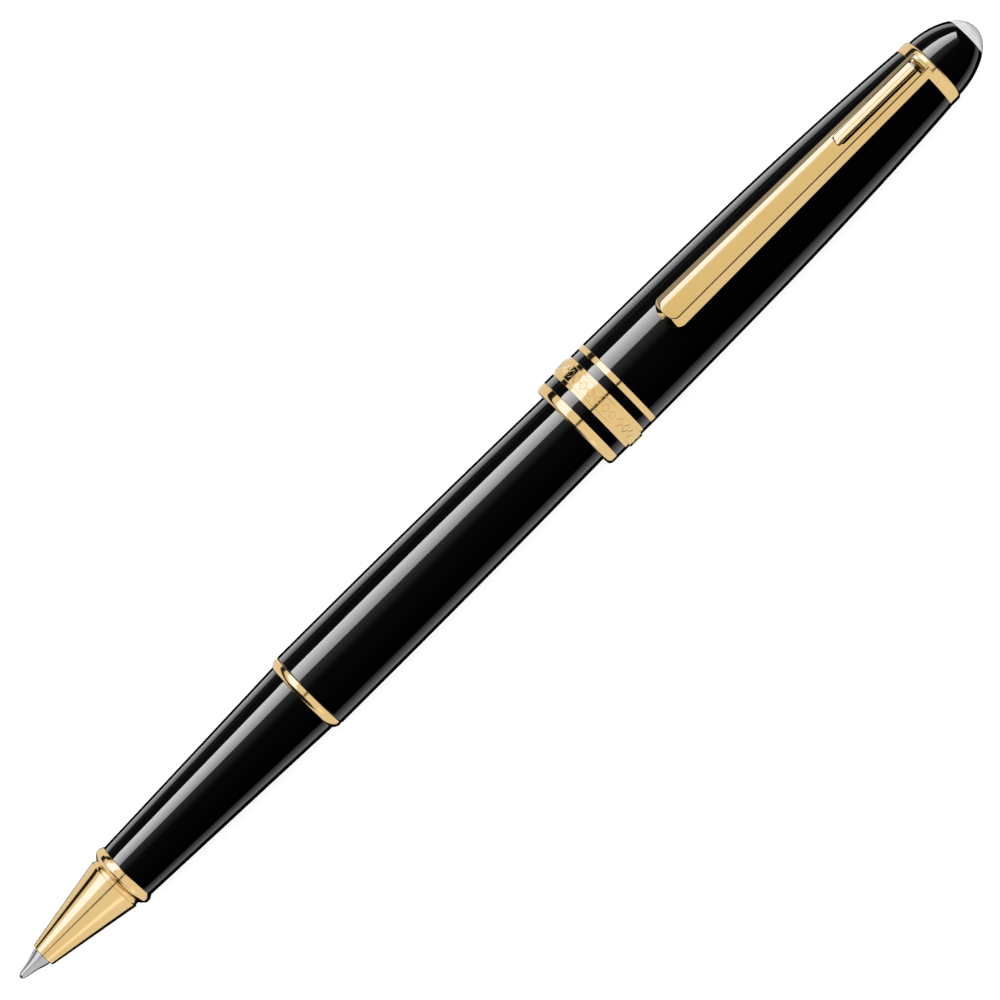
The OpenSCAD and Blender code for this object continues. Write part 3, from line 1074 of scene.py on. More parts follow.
@dataclass
class Barrel:
    """The black barrel, its brass bush, the spring and its seat. Sizes in mm."""

    bench: Bench
    straight: float = 9.0
    taper: float = 0.98
    curve: float = 1.8
    tail_round: float = 2.6
    tail_wall: float = 2.3
    bush_bore: float = 4.67
    bush_depth: float = 10.4
    bore: float = 3.5
    wire: float = 0.2
    coil: float = 2.1
    coils: int = 5
    coil_steps: int = 40
    give: float = 0.8

    def radius_at(self, x: float) -> float:
        """Works out the barrel's radius: straight, then an ever steeper taper.

        Args:
            x: A station, in mm.

        Returns:
            The radius there, in mm.
        """
        span = Span.of("barrel")
        start = span.front + self.straight
        end = span.back - self.tail_round
        share = max(0.0, (x - start) / (end - start))
        return span.radius - self.taper * share ** self.curve

    def build(self) -> None:
        """Models the barrel and the spring, and dresses the bush and the seat."""
        self._shell()
        self._spring()
        self.bench.dress("barrel_bush", RAW_BRASS)
        self.bench.dress("spring_seat", LINER_PLASTIC)

    def _shell(self) -> None:
        """Turns the barrel, closed and rounded at its tail."""
        span = Span.of("barrel")
        end = span.back - self.tail_round
        step = span.front + self.bush_depth
        skin = [(x, self.radius_at(x)) for x in along(span.front + 0.12, end, 44)]
        tail = rounding(span.back, self.radius_at(end), -self.tail_round, self.tail_round, 12)
        outline = [
            (span.back - self.tail_wall, 0.0), (span.back - self.tail_wall, self.bore),
            (step, self.bore), (step, self.bush_bore), (span.front, self.bush_bore),
            (span.front, span.radius - 0.1), *skin, *reversed(tail[:-1]), (span.back, 0.0),
        ]
        self.bench.turn_to_fit("barrel_piece", outline, "barrel", RESIN, 0.04)

    def _spring(self) -> None:
        """Winds the refill spring at the length it has in the frame."""
        span = Span.of("refill_spring")
        length = span.back - span.front
        ring = [(self.wire * math.sin(a), self.coil + self.wire * math.cos(a))
                for a in along(0, math.tau, 10)[:-1]]
        pitch = (length - 2 * self.wire) / self.coils
        coil = self.bench.helix("spring_piece", ring, span.front + self.wire, pitch, self.coils,
                                self.coil_steps)
        self.bench.fit(coil, "refill_spring", SPRING_STEEL)
        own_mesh(coil)


@dataclass
class Cap:
    """The cap tube, its liner, and the trim rings on its turned-down sleeve. Sizes in mm."""

    bench: Bench
    barrel: Barrel
    taper: float = 1.56
    straight_share: float = 0.35
    sleeve_wall: float = 0.45
    ring_gap: float = 0.02
    post_gap: float = 0.05
    liner_seat: float = 0.42
    liner_wall: float = 0.38
    liner_end: float = 1.6
    liner_narrowing: float = 1.3
    seat_depth: float = 0.5
    lip_round: Point = (0.62, 0.46)
    border: float = 0.5
    lozenges: int = 32
    lozenge_length: float = 1.46
    land: float = 0.05
    groove: float = 0.11
    groove_depth: float = 0.05
    groove_steps: int = 3
    fineness: int = 3

    def build(self) -> None:
        """Models every piece of the cap's body."""
        self.lip = Span.of("lip_ring")
        self.tube = Span.of("cap_tube")
        self.bore = self.barrel.radius_at(self.lip.front) + self.post_gap
        self.sleeve = self.bore + self.sleeve_wall
        self.ring_bore = self.sleeve + self.ring_gap
        self._tube()
        self._liner()
        self._lip_ring()
        self._plain_ring("front_spacer", RESIN)
        self._plain_ring("rear_spacer", RESIN)
        self._plain_ring("thin_band", GILT)
        self._wide_band()

    def _radius_at(self, x: float) -> float:
        """Works out the cap tube's radius: nearly straight, then bending in.

        Args:
            x: A station, in mm.

        Returns:
            The radius there, in mm.
        """
        front = Span.of("thin_band").back
        share = (x - front) / (self.tube.back - front)
        bend = self.straight_share * share + (1 - self.straight_share) * share ** 3
        return self.lip.radius - self.taper * bend

    def _tube(self) -> None:
        """Turns the black tube and its sleeve, hollow up to the liner's end."""
        liner = Span.of("cap_liner")
        front = Span.of("thin_band").back
        skin = [(x, self._radius_at(x)) for x in along(front, self.tube.back, 52)]
        inside = [(x, self._liner_bore(x) + self.liner_seat)
                  for x in along(liner.front, liner.back, 24)]
        outline = [
            (liner.back, 0.0), *reversed(inside), (liner.front, self.bore),
            (self.tube.front, self.bore), (self.tube.front, self.sleeve), (front, self.sleeve),
            *skin, (self.tube.back, 0.0),
        ]
        self.bench.turn_to_fit("cap_piece", outline, "cap_tube", RESIN, 0.035)

    def _liner_bore(self, x: float) -> float:
        """Works out the liner's bore: round the barrel's tail, then narrowing to its end.

        Args:
            x: A station, in mm.

        Returns:
            The radius of the bore there, in mm.
        """
        liner = Span.of("cap_liner")
        tail = Span.of("barrel").back
        follow = self.barrel.radius_at(min(x, tail - self.barrel.tail_round)) + self.post_gap
        narrow = self._radius_at(liner.back) - self.liner_narrowing
        share = max(0.0, (x - tail) / (liner.back - tail))
        return follow + (narrow - follow) * share

    def _liner(self) -> None:
        """Turns the dark liner."""
        liner = Span.of("cap_liner")
        stations = along(liner.front, liner.back - self.liner_end, 24)
        outline = [
            (stations[-1], 0.0), *[(x, self._liner_bore(x)) for x in reversed(stations)],
            *[(x, self._liner_bore(x) + self.liner_wall)
              for x in along(liner.front, liner.back, 24)],
            (liner.back, 0.0),
        ]
        self.bench.turn_to_fit("liner_piece", outline, "cap_liner", LINER_PLASTIC)

    def _lip_ring(self) -> None:
        """Turns the gilt ring at the cap's mouth, with its rolled front."""
        lip = self.lip
        seat = lip.back - self.seat_depth
        roll = rounding(lip.front, lip.radius, *self.lip_round)
        outline = [
            (lip.front, self.bore), *roll, (lip.back, lip.radius), (lip.back, self.ring_bore),
            (seat, self.ring_bore), (seat, self.bore),
        ]
        self.bench.turn_to_fit("lip_piece", outline, "lip_ring", GILT, 0.03)

    def _plain_ring(self, node: str, finish: Finish) -> None:
        """Turns a plain ring of the stack.

        Args:
            node: The node that it stands for.
            finish: Its finish.
        """
        span = Span.of(node)
        outline = [(span.front, self.ring_bore), (span.front, span.radius),
                   (span.back, span.radius), (span.back, self.ring_bore)]
        self.bench.turn_to_fit(f"{node}_piece", outline, node, finish, 0.03)

    def _wide_band(self) -> None:
        """Shapes the gilt band, with a row of engraved lozenges round its raised field."""
        span = Span.of("wide_band")
        half = (span.back - span.front) / 2 - self.border
        band = self._lozenge_row(span.radius)
        row = self.lozenge_length / 2
        for side in (-1, 1):
            self._pull_rim(band, side * row, 0.0, side * (half - row))
        use_modifier(band, "SUBSURF", subdivision_type="SIMPLE", levels=self.fineness,
                     render_levels=self.fineness)
        use_modifier(band, "CAST", cast_type="CYLINDER", factor=1.0, use_radius_as_size=False,
                     size=span.radius * MM)
        for side in (-1, 1):
            self._pull_rim(band, side * half, self.lip.radius / span.radius, 0.0)
            self._pull_rim(band, side * half, 0.0, side * self.border, self.lip.radius)
            end = side * (half + self.border)
            self._pull_rim(band, end, self.ring_bore / self.lip.radius, 0.0)
        edit(band)
        bpy.ops.mesh.select_all(action="DESELECT")
        bpy.ops.mesh.select_non_manifold()
        bpy.ops.mesh.bridge_edge_loops()
        done()
        close_up(band)
        ease_edges(band, 0.03)
        self._engrave(band)
        band.rotation_euler = (0, math.pi / 2, 0)
        band.location = ((span.front + span.back) / 2 * MM, 0, self.bench.axis * MM)
        pick(band)
        place()
        self.bench.fit(band, "wide_band", GILT)

    def _lozenge_row(self, radius: float) -> bpy.types.Object:
        """Divides a short open tube, upright at the origin, into a row of lozenges with outlines.

        Args:
            radius: The tube's radius, in mm.

        Returns:
            The tube. Its faces to be engraved are in its second material slot.
        """
        deselect()
        bpy.ops.mesh.primitive_cylinder_add(
            vertices=self.lozenges, radius=radius * MM, depth=self.lozenge_length * MM,
            end_fill_type="NOTHING", location=(0, 0, 0))
        tube = bpy.context.active_object
        tube.name = "band_piece"
        for _ in range(2):
            tube.data.materials.append(GILT.material())
        edit(tube, "FACE")
        bpy.ops.mesh.poke()
        done()
        select_where(tube, lambda p: abs(p.z) < MERGE, "EDGE")
        bpy.ops.mesh.dissolve_edges(use_verts=False)
        done()
        select_where(tube, lambda p: abs(p.z) < MERGE, "FACE")
        for thickness, slot in ((self.land, 1), (self.groove, 0)):
            bpy.ops.mesh.inset(thickness=thickness * MM, use_individual=True)
            tube.active_material_index = slot
            bpy.ops.object.material_slot_assign()
        done()
        return tube

    def _pull_rim(self, band: bpy.types.Object, height: float, scale: float, rise: float,
                  radius: float = 0.0) -> None:
        """Extrudes the open rim at one height, inwards by a scale or along the axis.

        Args:
            band: The upright band.
            height: Where the rim is, in mm from the band's middle.
            scale: Scale of the new rim, or 0 to keep its size.
            rise: How far the new rim moves along the axis, in mm.
            radius: The rim's radius where two rims share a height, or 0.
        """
        def on_rim(place_m: Vector) -> bool:
            """Says whether an edge's middle is on the rim."""
            far = math.hypot(place_m.x, place_m.y) / MM
            return abs(place_m.z / MM - height) < 0.001 and (not radius or far < radius + 0.01)
        select_where(band, on_rim, "EDGE")
        bpy.ops.mesh.extrude_edges_move(TRANSFORM_OT_translate={"value": (0, 0, rise * MM)})
        if scale:
            bpy.ops.transform.resize(value=(scale, scale, 1), center_override=(0, 0, 0))
        done()

    def _engrave(self, band: bpy.types.Object) -> None:
        """Sinks the faces of the second material slot in steps, which leaves sloping walls.

        Args:
            band: The band.
        """
        edit(band, "FACE")
        bpy.ops.mesh.select_all(action="DESELECT")
        band.active_material_index = 1
        bpy.ops.object.material_slot_select()
        for _ in range(self.groove_steps):
            bpy.ops.mesh.select_less()
            bpy.ops.transform.shrink_fatten(value=-self.groove_depth / self.groove_steps * MM)
        done()


@dataclass
class Clip:
    """The folded gilt clip and its ring. Sizes in mm, and plate_turns in degrees."""

    bench: Bench
    top_width: float = 2.8
    base_width: float = 4.5
    height: float = 1.5
    bulge: float = 0.14
    head_scale: float = 0.79
    head_height: float = 1.3
    drop: float = 0.9
    head_inset: float = 1.0
    sheet: float = 0.36
    steps: int = 24
    end_reach: float = 0.65
    end_depth: float = 1.55
    end_steps: int = 20
    fold: float = 0.09
    slot_start: float = 13.2
    slot_end: float = 0.42
    slot_width: float = 1.66
    slot_offset: float = 0.24
    slot_corner: float = 0.35
    slot_corner_steps: int = 6
    gap_start: float = 1.25
    gap_reach: float = 1.06
    gap_depth: float = 0.5
    tongue_start: float = 13.6
    tongue_end: float = 1.3
    tongue_ramp: float = 0.5
    tongue_foot: float = 1.46
    tongue_crest: float = 0.46
    tongue_depth: float = 0.8
    tongue_offset: float = 0.27
    tongue_section: tuple[Point, ...] = (
        (-0.66, -0.16), (-0.6, -0.08), (-0.5, -0.02), (-0.4, 0.0), (-0.3, -0.01),
        (-0.04, -0.05), (0.0, -0.12), (0.04, -0.05), (0.6, -0.2), (0.66, -0.26))
    neck_width: float = 2.4
    neck_drop: float = 0.7
    neck_fall: float = 1.0
    neck_gap: float = 0.15
    notch_depth: float = 0.9
    ring_bore: float = 1.65
    ring_round: Point = (0.42, 0.3)
    plate_inset: float = 0.12
    plate_width: float = 1.15
    plate_turns: Point = (31.0, 63.0)
    plate_height: float = 0.08
    plate_root: float = 0.2
    plate_steps: int = 24

    def build(self) -> None:
        """Models the clip and the clip ring."""
        whole = Span.of("clip")
        self.span = replace(whole, back=whole.back - self.head_inset)
        self.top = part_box("clip")[1].z / MM
        self._ring()
        clip = self._trough()
        ease_edges(clip, self.fold, 20.0, 4, clamp=False)
        self._slot(clip)
        self.bench.join(clip, self._tongue(), self._neck())
        self.bench.fit(clip, "clip", CLIP_GILT, 44.0)

    def _top_at(self, x: float) -> float:
        """Height of the clip's top line at a station, which falls towards the head."""
        share = (x - self.span.front) / (self.span.back - self.span.front)
        return self.top - self.drop * share

    def _trough(self) -> bpy.types.Object:
        """Folds the sheet: half a section is drawn, pulled to the head, spun round and mirrored.

        Returns:
            The hollow clip with walls of the sheet's thickness.
        """
        end = self.span.front - self.end_reach + self.end_depth
        top = self._top_at(end)
        across = along(0, self.top_width / 2, 7)
        section = [Vector((end, y, top - self.bulge * (2 * y / self.top_width) ** 2))
                   for y in across]
        section.append(Vector((end, self.base_width / 2, top - self.height)))
        clip = self.bench.trace("clip_piece", section)
        edit(clip, "EDGE")
        stations = along(end, self.span.back, self.steps)
        width = along(1, self.head_scale, self.steps)
        depth = along(1, self.head_height / self.height, self.steps)
        for i, (here, there) in enumerate(zip(stations, stations[1:])):
            step = Vector((there - here, 0, self._top_at(there) - self._top_at(here))) * MM
            bpy.ops.mesh.extrude_edges_move(TRANSFORM_OT_translate={"value": step})
            pivot = Vector((there, 0, self._top_at(there))) * MM
            bpy.ops.transform.resize(value=(1, width[i + 1] / width[i], depth[i + 1] / depth[i]),
                                     center_override=pivot)
        done()
        select_where(clip, lambda p: p.x < end * MM + MERGE, "EDGE")
        bpy.ops.mesh.spin(steps=self.end_steps, angle=-math.pi / 2, center=(end * MM, 0, 0),
                          axis=(0, 0, 1))
        done()
        flatten = 2 * self.end_depth / self.base_width
        select_where(clip, lambda p: p.x < end * MM + MERGE)
        bpy.ops.transform.resize(value=(flatten, 1, 1), center_override=(end * MM, 0, 0))
        done()
        use_modifier(clip, "MIRROR", use_axis=(False, True, False), merge_threshold=MERGE)
        close_up(clip)
        select_where(clip, lambda p: p.x > self.span.back * MM - MERGE)
        bpy.ops.mesh.edge_face_add()
        bpy.ops.mesh.select_all(action="SELECT")
        bpy.ops.mesh.normals_make_consistent(inside=False)
        done()
        use_modifier(clip, "SOLIDIFY", thickness=self.sheet * MM, offset=-1.0,
                     use_even_offset=True)
        close_up(clip)
        return clip

    def _slot(self, clip: bpy.types.Object) -> None:
        """Cuts the long slot that the tongue lies in, with rounded corners.

        Args:
            clip: The hollow clip.
        """
        half = self.slot_width / 2
        low = Vector((self.span.back - self.slot_start, self.slot_offset - half, self.top - 3.0))
        high = Vector((self.span.back - self.slot_end, self.slot_offset + half, self.top + 1.0))
        cutter = self.bench.block("slot", low, high)
        middle = (low + high) / 2 * MM
        select_where(cutter, lambda p: abs(p.z - middle.z) < 0.1 * MM, "EDGE")
        bpy.ops.mesh.bevel(offset=self.slot_corner * MM, segments=self.slot_corner_steps,
                           affect="EDGES")
        done()
        self.bench.cut(clip, cutter)
        floor = self._top_at(self.span.back) - self.gap_depth
        low = Vector((self.span.back - self.gap_start, -self.gap_reach, floor))
        high = Vector((self.span.back - self.slot_end, self.slot_offset, self.top + 1.0))
        self.bench.cut(clip, self.bench.block("gap", low, high))

    def _tongue(self) -> bpy.types.Object:
        """Shapes the raised tongue in the slot: its section is drawn, filled and pulled along.

        Returns:
            The tongue, with a fine line along its crest.
        """
        front = self.span.back - self.tongue_start
        back = self.span.back - self.tongue_end
        foot = self.tongue_foot / 2
        top = self._top_at(front)
        crest = [(y, self.tongue_crest + h) for y, h in self.tongue_section]
        section = [(-foot, -self.tongue_depth), *crest, (foot, -self.tongue_depth)]
        section.append(section[0])
        points = [Vector((front, self.tongue_offset + y, top + h)) for y, h in section]
        tongue = self.bench.trace("tongue", points)
        edit(tongue)
        bpy.ops.mesh.remove_doubles(threshold=MERGE)
        bpy.ops.mesh.edge_face_add()
        fall = self._top_at(back) - top
        share = self.tongue_ramp / (back - front)
        for part in (share, 1 - share):
            step = Vector((back - front, 0, fall)) * part * MM
            bpy.ops.mesh.extrude_region_move(TRANSFORM_OT_translate={"value": step})
        done()
        select_where(tongue, lambda p: p.x < front * MM + MERGE)
        bpy.ops.transform.translate(value=(0, 0, -self.tongue_crest * MM))
        done()
        close_up(tongue)
        return tongue

    def _neck(self) -> bpy.types.Object:
        """Shapes the neck that drops from the clip's head into the ring's notch.

        Returns:
            The neck.
        """
        ring = Span.of("clip_ring")
        foot = self.bench.axis + ring.radius - 0.7
        half = self.neck_width / 2
        top = self._top_at(self.span.back) - self.neck_drop
        neck = self.bench.block("neck", Vector((ring.front + 0.14, -half, foot)),
                                Vector((self.span.back - 0.05, half, top)))
        ease_edges(neck, 0.12)
        select_where(neck, lambda p: p.z > (top - 0.2) * MM and p.x < (ring.front + 0.4) * MM)
        bpy.ops.transform.translate(value=(0, 0, -self.neck_fall * MM))
        done()
        return neck

    def _ring(self) -> None:
        """Turns the clip ring, rounded at its rear, puts its blank plate on and cuts its notch."""
        span = Span.of("clip_ring")
        length, depth = self.ring_round
        roll = rounding(span.back, span.radius, -length, depth)
        outline = [(span.front, self.ring_bore), (span.front, span.radius), *reversed(roll),
                   (span.back, self.ring_bore)]
        ring = self.bench.turn("clip_ring_piece", outline, edge=0.04)
        half = self.neck_width / 2 + self.neck_gap
        top = self.bench.axis + span.radius
        notch = self.bench.block("notch", Vector((span.front - 1, -half, top - self.notch_depth)),
                                 Vector((self.span.back + self.neck_gap, half, top + 2)))
        self.bench.cut(ring, notch)
        self.bench.join(ring, self._plate(span.front + self.plate_inset, span.radius))
        self.bench.fit(ring, "clip_ring", GILT)

    def _plate(self, front: float, radius: float) -> bpy.types.Object:
        """Shapes the thin blank plate on the ring's near side, by a part turn of its section.

        Args:
            front: Station of its front edge, in mm.
            radius: The ring's radius, in mm.

        Returns:
            The plate.
        """
        start, end = (math.radians(turn) for turn in self.plate_turns)
        low, high = radius - self.plate_root, radius + self.plate_height
        back = front + self.plate_width
        outline = [(front, low), (front, high), (back, high), (back, low), (front, low)]
        plate = self.bench.trace("plate", [
            Vector((x, -r * math.sin(start), self.bench.axis + r * math.cos(start)))
            for x, r in outline])
        edit(plate)
        bpy.ops.mesh.remove_doubles(threshold=MERGE)
        bpy.ops.mesh.edge_face_add()
        bpy.ops.mesh.spin(steps=self.plate_steps, angle=start - end,
                          center=(0, 0, self.bench.axis * MM), axis=(1, 0, 0))
        done()
        close_up(plate)
        ease_edges(plate, 0.03)
        return plate


@dataclass
class Crown:
    """The domed crown with its pearl tip, and the screw that holds it. Sizes in mm."""

    bench: Bench
    length: float = 6.7
    bend: float = 1.8
    shoulder: float = 2.1
    rings: int = 28
    tip_rings: int = 18
    seam: float = 0.03

    def build(self) -> None:
        """Models the crown and its tip, and dresses the screw."""
        dome = Span.of("crown")
        tip = Span.of("crown_inlay")
        seam = tip.front
        heights = along(0, seam - dome.front, self.rings)
        skin = [(dome.front + h, self._radius_at(h, dome.radius)) for h in heights]
        outline = [(dome.front, 0.0), *skin, (seam, 0.0)]
        self.bench.turn_to_fit("crown_piece", outline, "crown", RESIN, 0.03)
        start = seam - dome.front
        rise = [start + (self.length - start) * math.sin(a)
                for a in along(0, math.pi / 2, self.tip_rings)]
        skin = [(dome.front + h, self._radius_at(h, dome.radius)) for h in rise[:-1]]
        outline = [(seam, 0.0), (seam, skin[0][1] - self.seam), *skin[1:], (tip.back, 0.0)]
        self.bench.turn_to_fit("tip_piece", outline, "crown_inlay", PEARL, 0.02)
        self.bench.dress("crown_screw", RAW_BRASS)

    def _radius_at(self, height: float, foot: float) -> float:
        """Radius of the dome at a height above its foot, whose radius is given."""
        share = min(1.0, height / self.length)
        return foot * (1 - share ** self.bend) ** (1 / self.shoulder)


# ---- Studio ----

@dataclass(frozen=True)
class SoftLight:
    """A long soft light parallel to the pen, which only its own surfaces see.

    Attributes:
        name: Its name.
        near: The edge that near_share dims or brightens.
        far: Its other edge. Both are positive towards +Y.
        radiance: Its brightness at its far edge, as the pen mirrors it.
        reaches: Which surfaces it lights.
        near_share: Brightness of its near edge, as a share of the far edge's.
        colour: Its colour.
        length: Its length along the pen, in metres.
        shift: How far its middle is moved along the pen, in metres.
    """

    name: str
    near: float
    far: float
    radiance: float
    reaches: Receivers
    near_share: float = 1.0
    colour: Colour = (1.0, 1.0, 1.0)
    length: float = 1.6
    shift: float = 0.0

    def layout(self, height: float) -> tuple[Vector, Euler, float]:
        """Works out where the light goes.

        Args:
            height: Height of the pen's axis, in metres.

        Returns:
            Its middle, its turn, and its width in metres.
        """
        raise NotImplementedError

    def hang(self, receivers: bpy.types.Collection, height: float) -> None:
        """Puts the light up.

        Args:
            receivers: The surfaces that it lights.
            height: Height of the pen's axis, in metres.
        """
        middle, turn, width = self.layout(height)
        light = bpy.data.lights.new(self.name, "AREA")
        light.shape = "RECTANGLE"
        light.size = self.length
        light.size_y = width
        light.energy = self.radiance * math.pi * self.length * width
        light.color = self.colour
        if self.near_share != 1:
            self._fade(light)
        lamp = bpy.data.objects.new(self.name, light)
        lamp.location = middle + Vector((self.shift, 0, 0))
        lamp.rotation_euler = turn
        lamp.visible_camera = False
        lamp.light_linking.receiver_collection = receivers
        bpy.context.scene.collection.objects.link(lamp)

    def _fade(self, light: bpy.types.Light) -> None:
        """Grades the light evenly from its near edge to its far edge.

        Args:
            light: The light.
        """
        light.use_nodes = True
        sheet = Sheet(light.node_tree)
        across = sheet.node("SeparateXYZ")
        sheet.wire(sheet.node("NewGeometry").outputs["Parametric"], across.inputs["Vector"])
        emission = sheet.node("Emission")
        towards_far = self.far > self.near
        ends = (self.near_share, 1.0) if towards_far else (1.0, self.near_share)
        sheet.wire(sheet.ramp(across.outputs["Y"], 0.0, 1.0, *ends), emission.inputs["Strength"])
        sheet.wire(emission.outputs["Emission"], sheet.node("OutputLight").inputs["Surface"])


@dataclass(frozen=True)
class Overhead(SoftLight):
    """A soft light above the floor. Its edges are angles from straight up, in degrees."""

    distance: ClassVar[float] = 0.5

    def layout(self, height: float) -> tuple[Vector, Euler, float]:
        """Works out where the light goes from its two angles.

        Args:
            height: Height of the pen's axis, in metres.

        Returns:
            Its middle, its turn, and its width in metres.
        """
        tilt = math.radians((self.near + self.far) / 2)
        width = 2 * self.distance * math.tan(math.radians(abs(self.far - self.near) / 2))
        middle = Vector((0, self.distance * math.sin(tilt),
                         height + self.distance * math.cos(tilt)))
        return middle, Euler((-tilt, 0, 0)), width


@dataclass(frozen=True)
class FloorCard(SoftLight):
    """A bright card lying on the floor. Its edges are distances from the pen's axis, in mm."""

    lift: ClassVar[float] = 0.0002

    def layout(self, height: float) -> tuple[Vector, Euler, float]:
        """Works out where the card goes from its two edges.

        Args:
            height: Height of the pen's axis, in metres.

        Returns:
            Its middle, its turn, and its width in metres.
        """
        middle = Vector((0, (self.near + self.far) / 2 * MM, self.lift))
        return middle, Euler((0, math.pi, 0)), abs(self.far - self.near) * MM


LIGHTS = (
    Overhead("strip", 20.5, 56.0, 14.5, Receivers.RESIN, near_share=0.4),
    Overhead("strip_glow", -10.0, 20.5, 0.5, Receivers.RESIN, near_share=0.0),
    Overhead("edge_glow", 80.0, 90.0, 0.15, Receivers.RESIN, near_share=0.0),
    FloorCard("floor_left", 15.5, 100.0, 0.2, Receivers.RESIN, near_share=13.0),
    FloorCard("floor_right", -9.2, -29.0, 0.08, Receivers.RESIN, near_share=14.5),
    Overhead("metal_left", -11.5, 30.0, 0.82, Receivers.METAL),
    Overhead("metal_far_left", 30.0, 70.0, 0.82, Receivers.METAL),
    Overhead("metal_right", -50.0, -17.0, 0.82, Receivers.METAL),
    Overhead("metal_far_right", -92.0, -50.0, 0.82, Receivers.METAL),
    FloorCard("metal_floor_left", 8.5, 600.0, 0.82, Receivers.METAL),
    FloorCard("metal_floor_right", -8.5, -600.0, 0.82, Receivers.METAL),
    Overhead("gold_strip", 18.0, 53.0, 1.0, Receivers.GOLD, colour=(0.3, 0.6, 1.6)),
    Overhead("cone_band", -84.0, -66.0, 0.3, Receivers.GOLD, colour=(0.8, 1.0, 1.4), length=0.3,
             shift=-0.3),
    Overhead("clip_top", -17.0, 55.0, 0.74, Receivers.CLIP, colour=(1.03, 1.0, 0.86)),
    Overhead("clip_strip", 25.0, 55.0, 1.0, Receivers.CLIP, colour=(0.35, 0.65, 1.7)),
    FloorCard("clip_floor_left", 8.5, 600.0, 0.31, Receivers.CLIP),
    FloorCard("clip_floor_right", -8.5, -600.0, 0.8, Receivers.CLIP),
    Overhead("steel_strip", 14.0, 50.0, 0.5, Receivers.STEEL),
    Overhead("pale_dome", -60.0, 60.0, 1.5, Receivers.PALE),
    FloorCard("pale_floor_left", 6.0, 300.0, 1.0, Receivers.PALE),
    FloorCard("pale_floor_right", -6.0, -300.0, 1.0, Receivers.PALE),
)


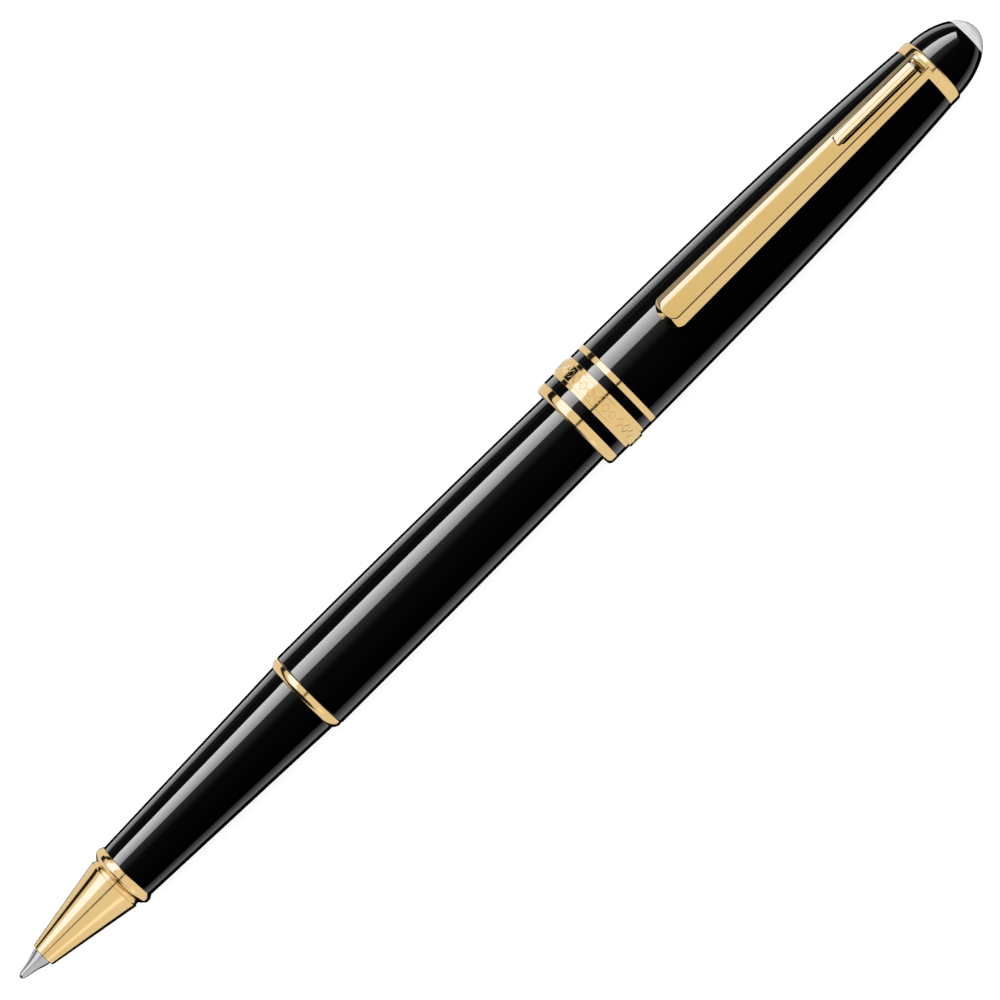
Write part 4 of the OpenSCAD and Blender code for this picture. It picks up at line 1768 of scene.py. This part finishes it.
@dataclass
class Studio:
    """A pale floor, soft lights and the camera.

    Attributes:
        bench: The bench, which knows the dressed pieces.
        elevation: Height of the camera over the floor, in degrees.
        roll: Turn of the picture, in degrees.
        distance: From the camera to the aim, in metres.
        view_width: Width of the view at that distance, in metres.
        aim: Where the camera looks, along and across the pen from its middle, in mm.
        floor_size: Length of the floor's side, in metres.
        floor_grey: The floor's lightness.
        floor_light: Strength of the floor's even light.
        shadow_light: Strength of the light that leaves the pen's soft shadow.
        shadow_softness: That light's apparent width, in degrees.
    """

    bench: Bench
    elevation: float = 76.5
    roll: float = 44.84
    distance: float = 0.65
    view_width: float = 0.11428
    aim: Point = (0.37, 0.06)
    floor_size: float = 4.0
    floor_grey: float = 0.86
    floor_light: float = 3.4
    shadow_light: float = 0.9
    shadow_softness: float = 60.0

    def build(self) -> None:
        """Sets the studio up round the dressed pieces."""
        height = self.bench.axis * MM
        groups = self._groups()
        self._floor(groups[Receivers.FLOOR])
        for light in LIGHTS:
            light.hang(groups[light.reaches], height)
        self._world()
        self._camera(height)

    def _groups(self) -> dict[Receivers, bpy.types.Collection]:
        """Sorts the dressed pieces by what lights them.

        Returns:
            A collection for each kind of receiver.
        """
        groups = {kind: bpy.data.collections.new(kind.value) for kind in Receivers}
        for piece, finish in self.bench.dressed:
            for kind in finish.lit_by:
                groups[kind].objects.link(piece)
        return groups

    def _floor(self, receivers: bpy.types.Collection) -> None:
        """Lays the floor, white to the eye and dark in reflections, and lights it from above.

        Args:
            receivers: The collection that the floor's lights reach.
        """
        deselect()
        bpy.ops.mesh.primitive_plane_add(size=self.floor_size, location=(0, 0, 0))
        floor = bpy.context.active_object
        floor.name = "floor"
        made = bpy.data.materials.new("floor")
        made.use_nodes = True
        sheet = Sheet(made.node_tree)
        seen = sheet.node("BsdfDiffuse")
        seen.inputs["Color"].default_value = (*[self.floor_grey] * 3, 1.0)
        mirrored = sheet.node("BsdfDiffuse")
        mirrored.inputs["Color"].default_value = (0.0, 0.0, 0.0, 1.0)
        self._by_camera_ray(sheet, seen, mirrored, sheet.node("OutputMaterial"))
        floor.data.materials.append(made)
        receivers.objects.link(floor)
        for name, strength, shadow in (("even", self.floor_light, False),
                                       ("shaded", self.shadow_light, True)):
            light = bpy.data.lights.new(name, "SUN")
            light.energy = strength
            light.angle = math.radians(self.shadow_softness)
            light.use_shadow = shadow
            lamp = bpy.data.objects.new(name, light)
            lamp.light_linking.receiver_collection = receivers
            bpy.context.scene.collection.objects.link(lamp)

    @staticmethod
    def _by_camera_ray(sheet: Sheet, seen: bpy.types.Node, mirrored: bpy.types.Node,
                       out: bpy.types.Node) -> None:
        """Shows one shader to the eye and another in reflections.

        Args:
            sheet: The sheet that holds them.
            seen: The shader that the camera sees.
            mirrored: The shader that reflections and light see.
            out: The output node.
        """
        mix = sheet.node("MixShader")
        sheet.wire(sheet.node("LightPath").outputs["Is Camera Ray"], mix.inputs[0])
        sheet.wire(mirrored.outputs[0], mix.inputs[1])
        sheet.wire(seen.outputs[0], mix.inputs[2])
        sheet.wire(mix.outputs[0], out.inputs["Surface"])

    def _world(self) -> None:
        """Makes the surroundings pale to the eye and dark in the pen's reflections."""
        world = bpy.data.worlds.new("studio")
        bpy.context.scene.world = world
        world.use_nodes = True
        sheet = Sheet(world.node_tree)
        seen = sheet.node("Background")
        seen.inputs["Color"].default_value = (1.0, 1.0, 1.0, 1.0)
        mirrored = sheet.node("Background")
        mirrored.inputs["Color"].default_value = (0.01, 0.01, 0.01, 1.0)
        self._by_camera_ray(sheet, seen, mirrored, sheet.node("OutputWorld"))

    def _camera(self, height: float) -> None:
        """Places the camera over the pen, rolled so that the pen lies corner to corner.

        Args:
            height: Height of the pen's axis, in metres.
        """
        data = bpy.data.cameras.new("camera")
        data.lens = data.sensor_width * self.distance / self.view_width
        data.clip_start = 0.01
        camera = bpy.data.objects.new("camera", data)
        bpy.context.scene.collection.objects.link(camera)
        rise = math.radians(self.elevation)
        back = Vector((0, -math.cos(rise), math.sin(rise)))
        along_pen, across = self.aim
        camera.location = Vector((along_pen * MM, across * MM, height)) + back * self.distance
        look = (-back).to_track_quat("-Z", "Y").to_matrix().to_4x4()
        roll = Matrix.Rotation(-math.radians(self.roll), 4, "Z")
        camera.rotation_euler = (look @ roll).to_euler()
        bpy.context.scene.camera = camera
        bpy.context.scene.view_settings.view_transform = "Standard"


def main() -> None:
    """Builds the pen, then the studio round it."""
    logging.basicConfig(level=logging.INFO, format="%(name)s: %(message)s")
    bench = Bench(axis_height())
    barrel = Barrel(bench)
    Refill(bench).build()
    FrontSection(bench).build()
    barrel.build()
    Cap(bench, barrel).build()
    Clip(bench).build()
    Crown(bench).build()
    Studio(bench).build()


if __name__ == "__main__":
    main()
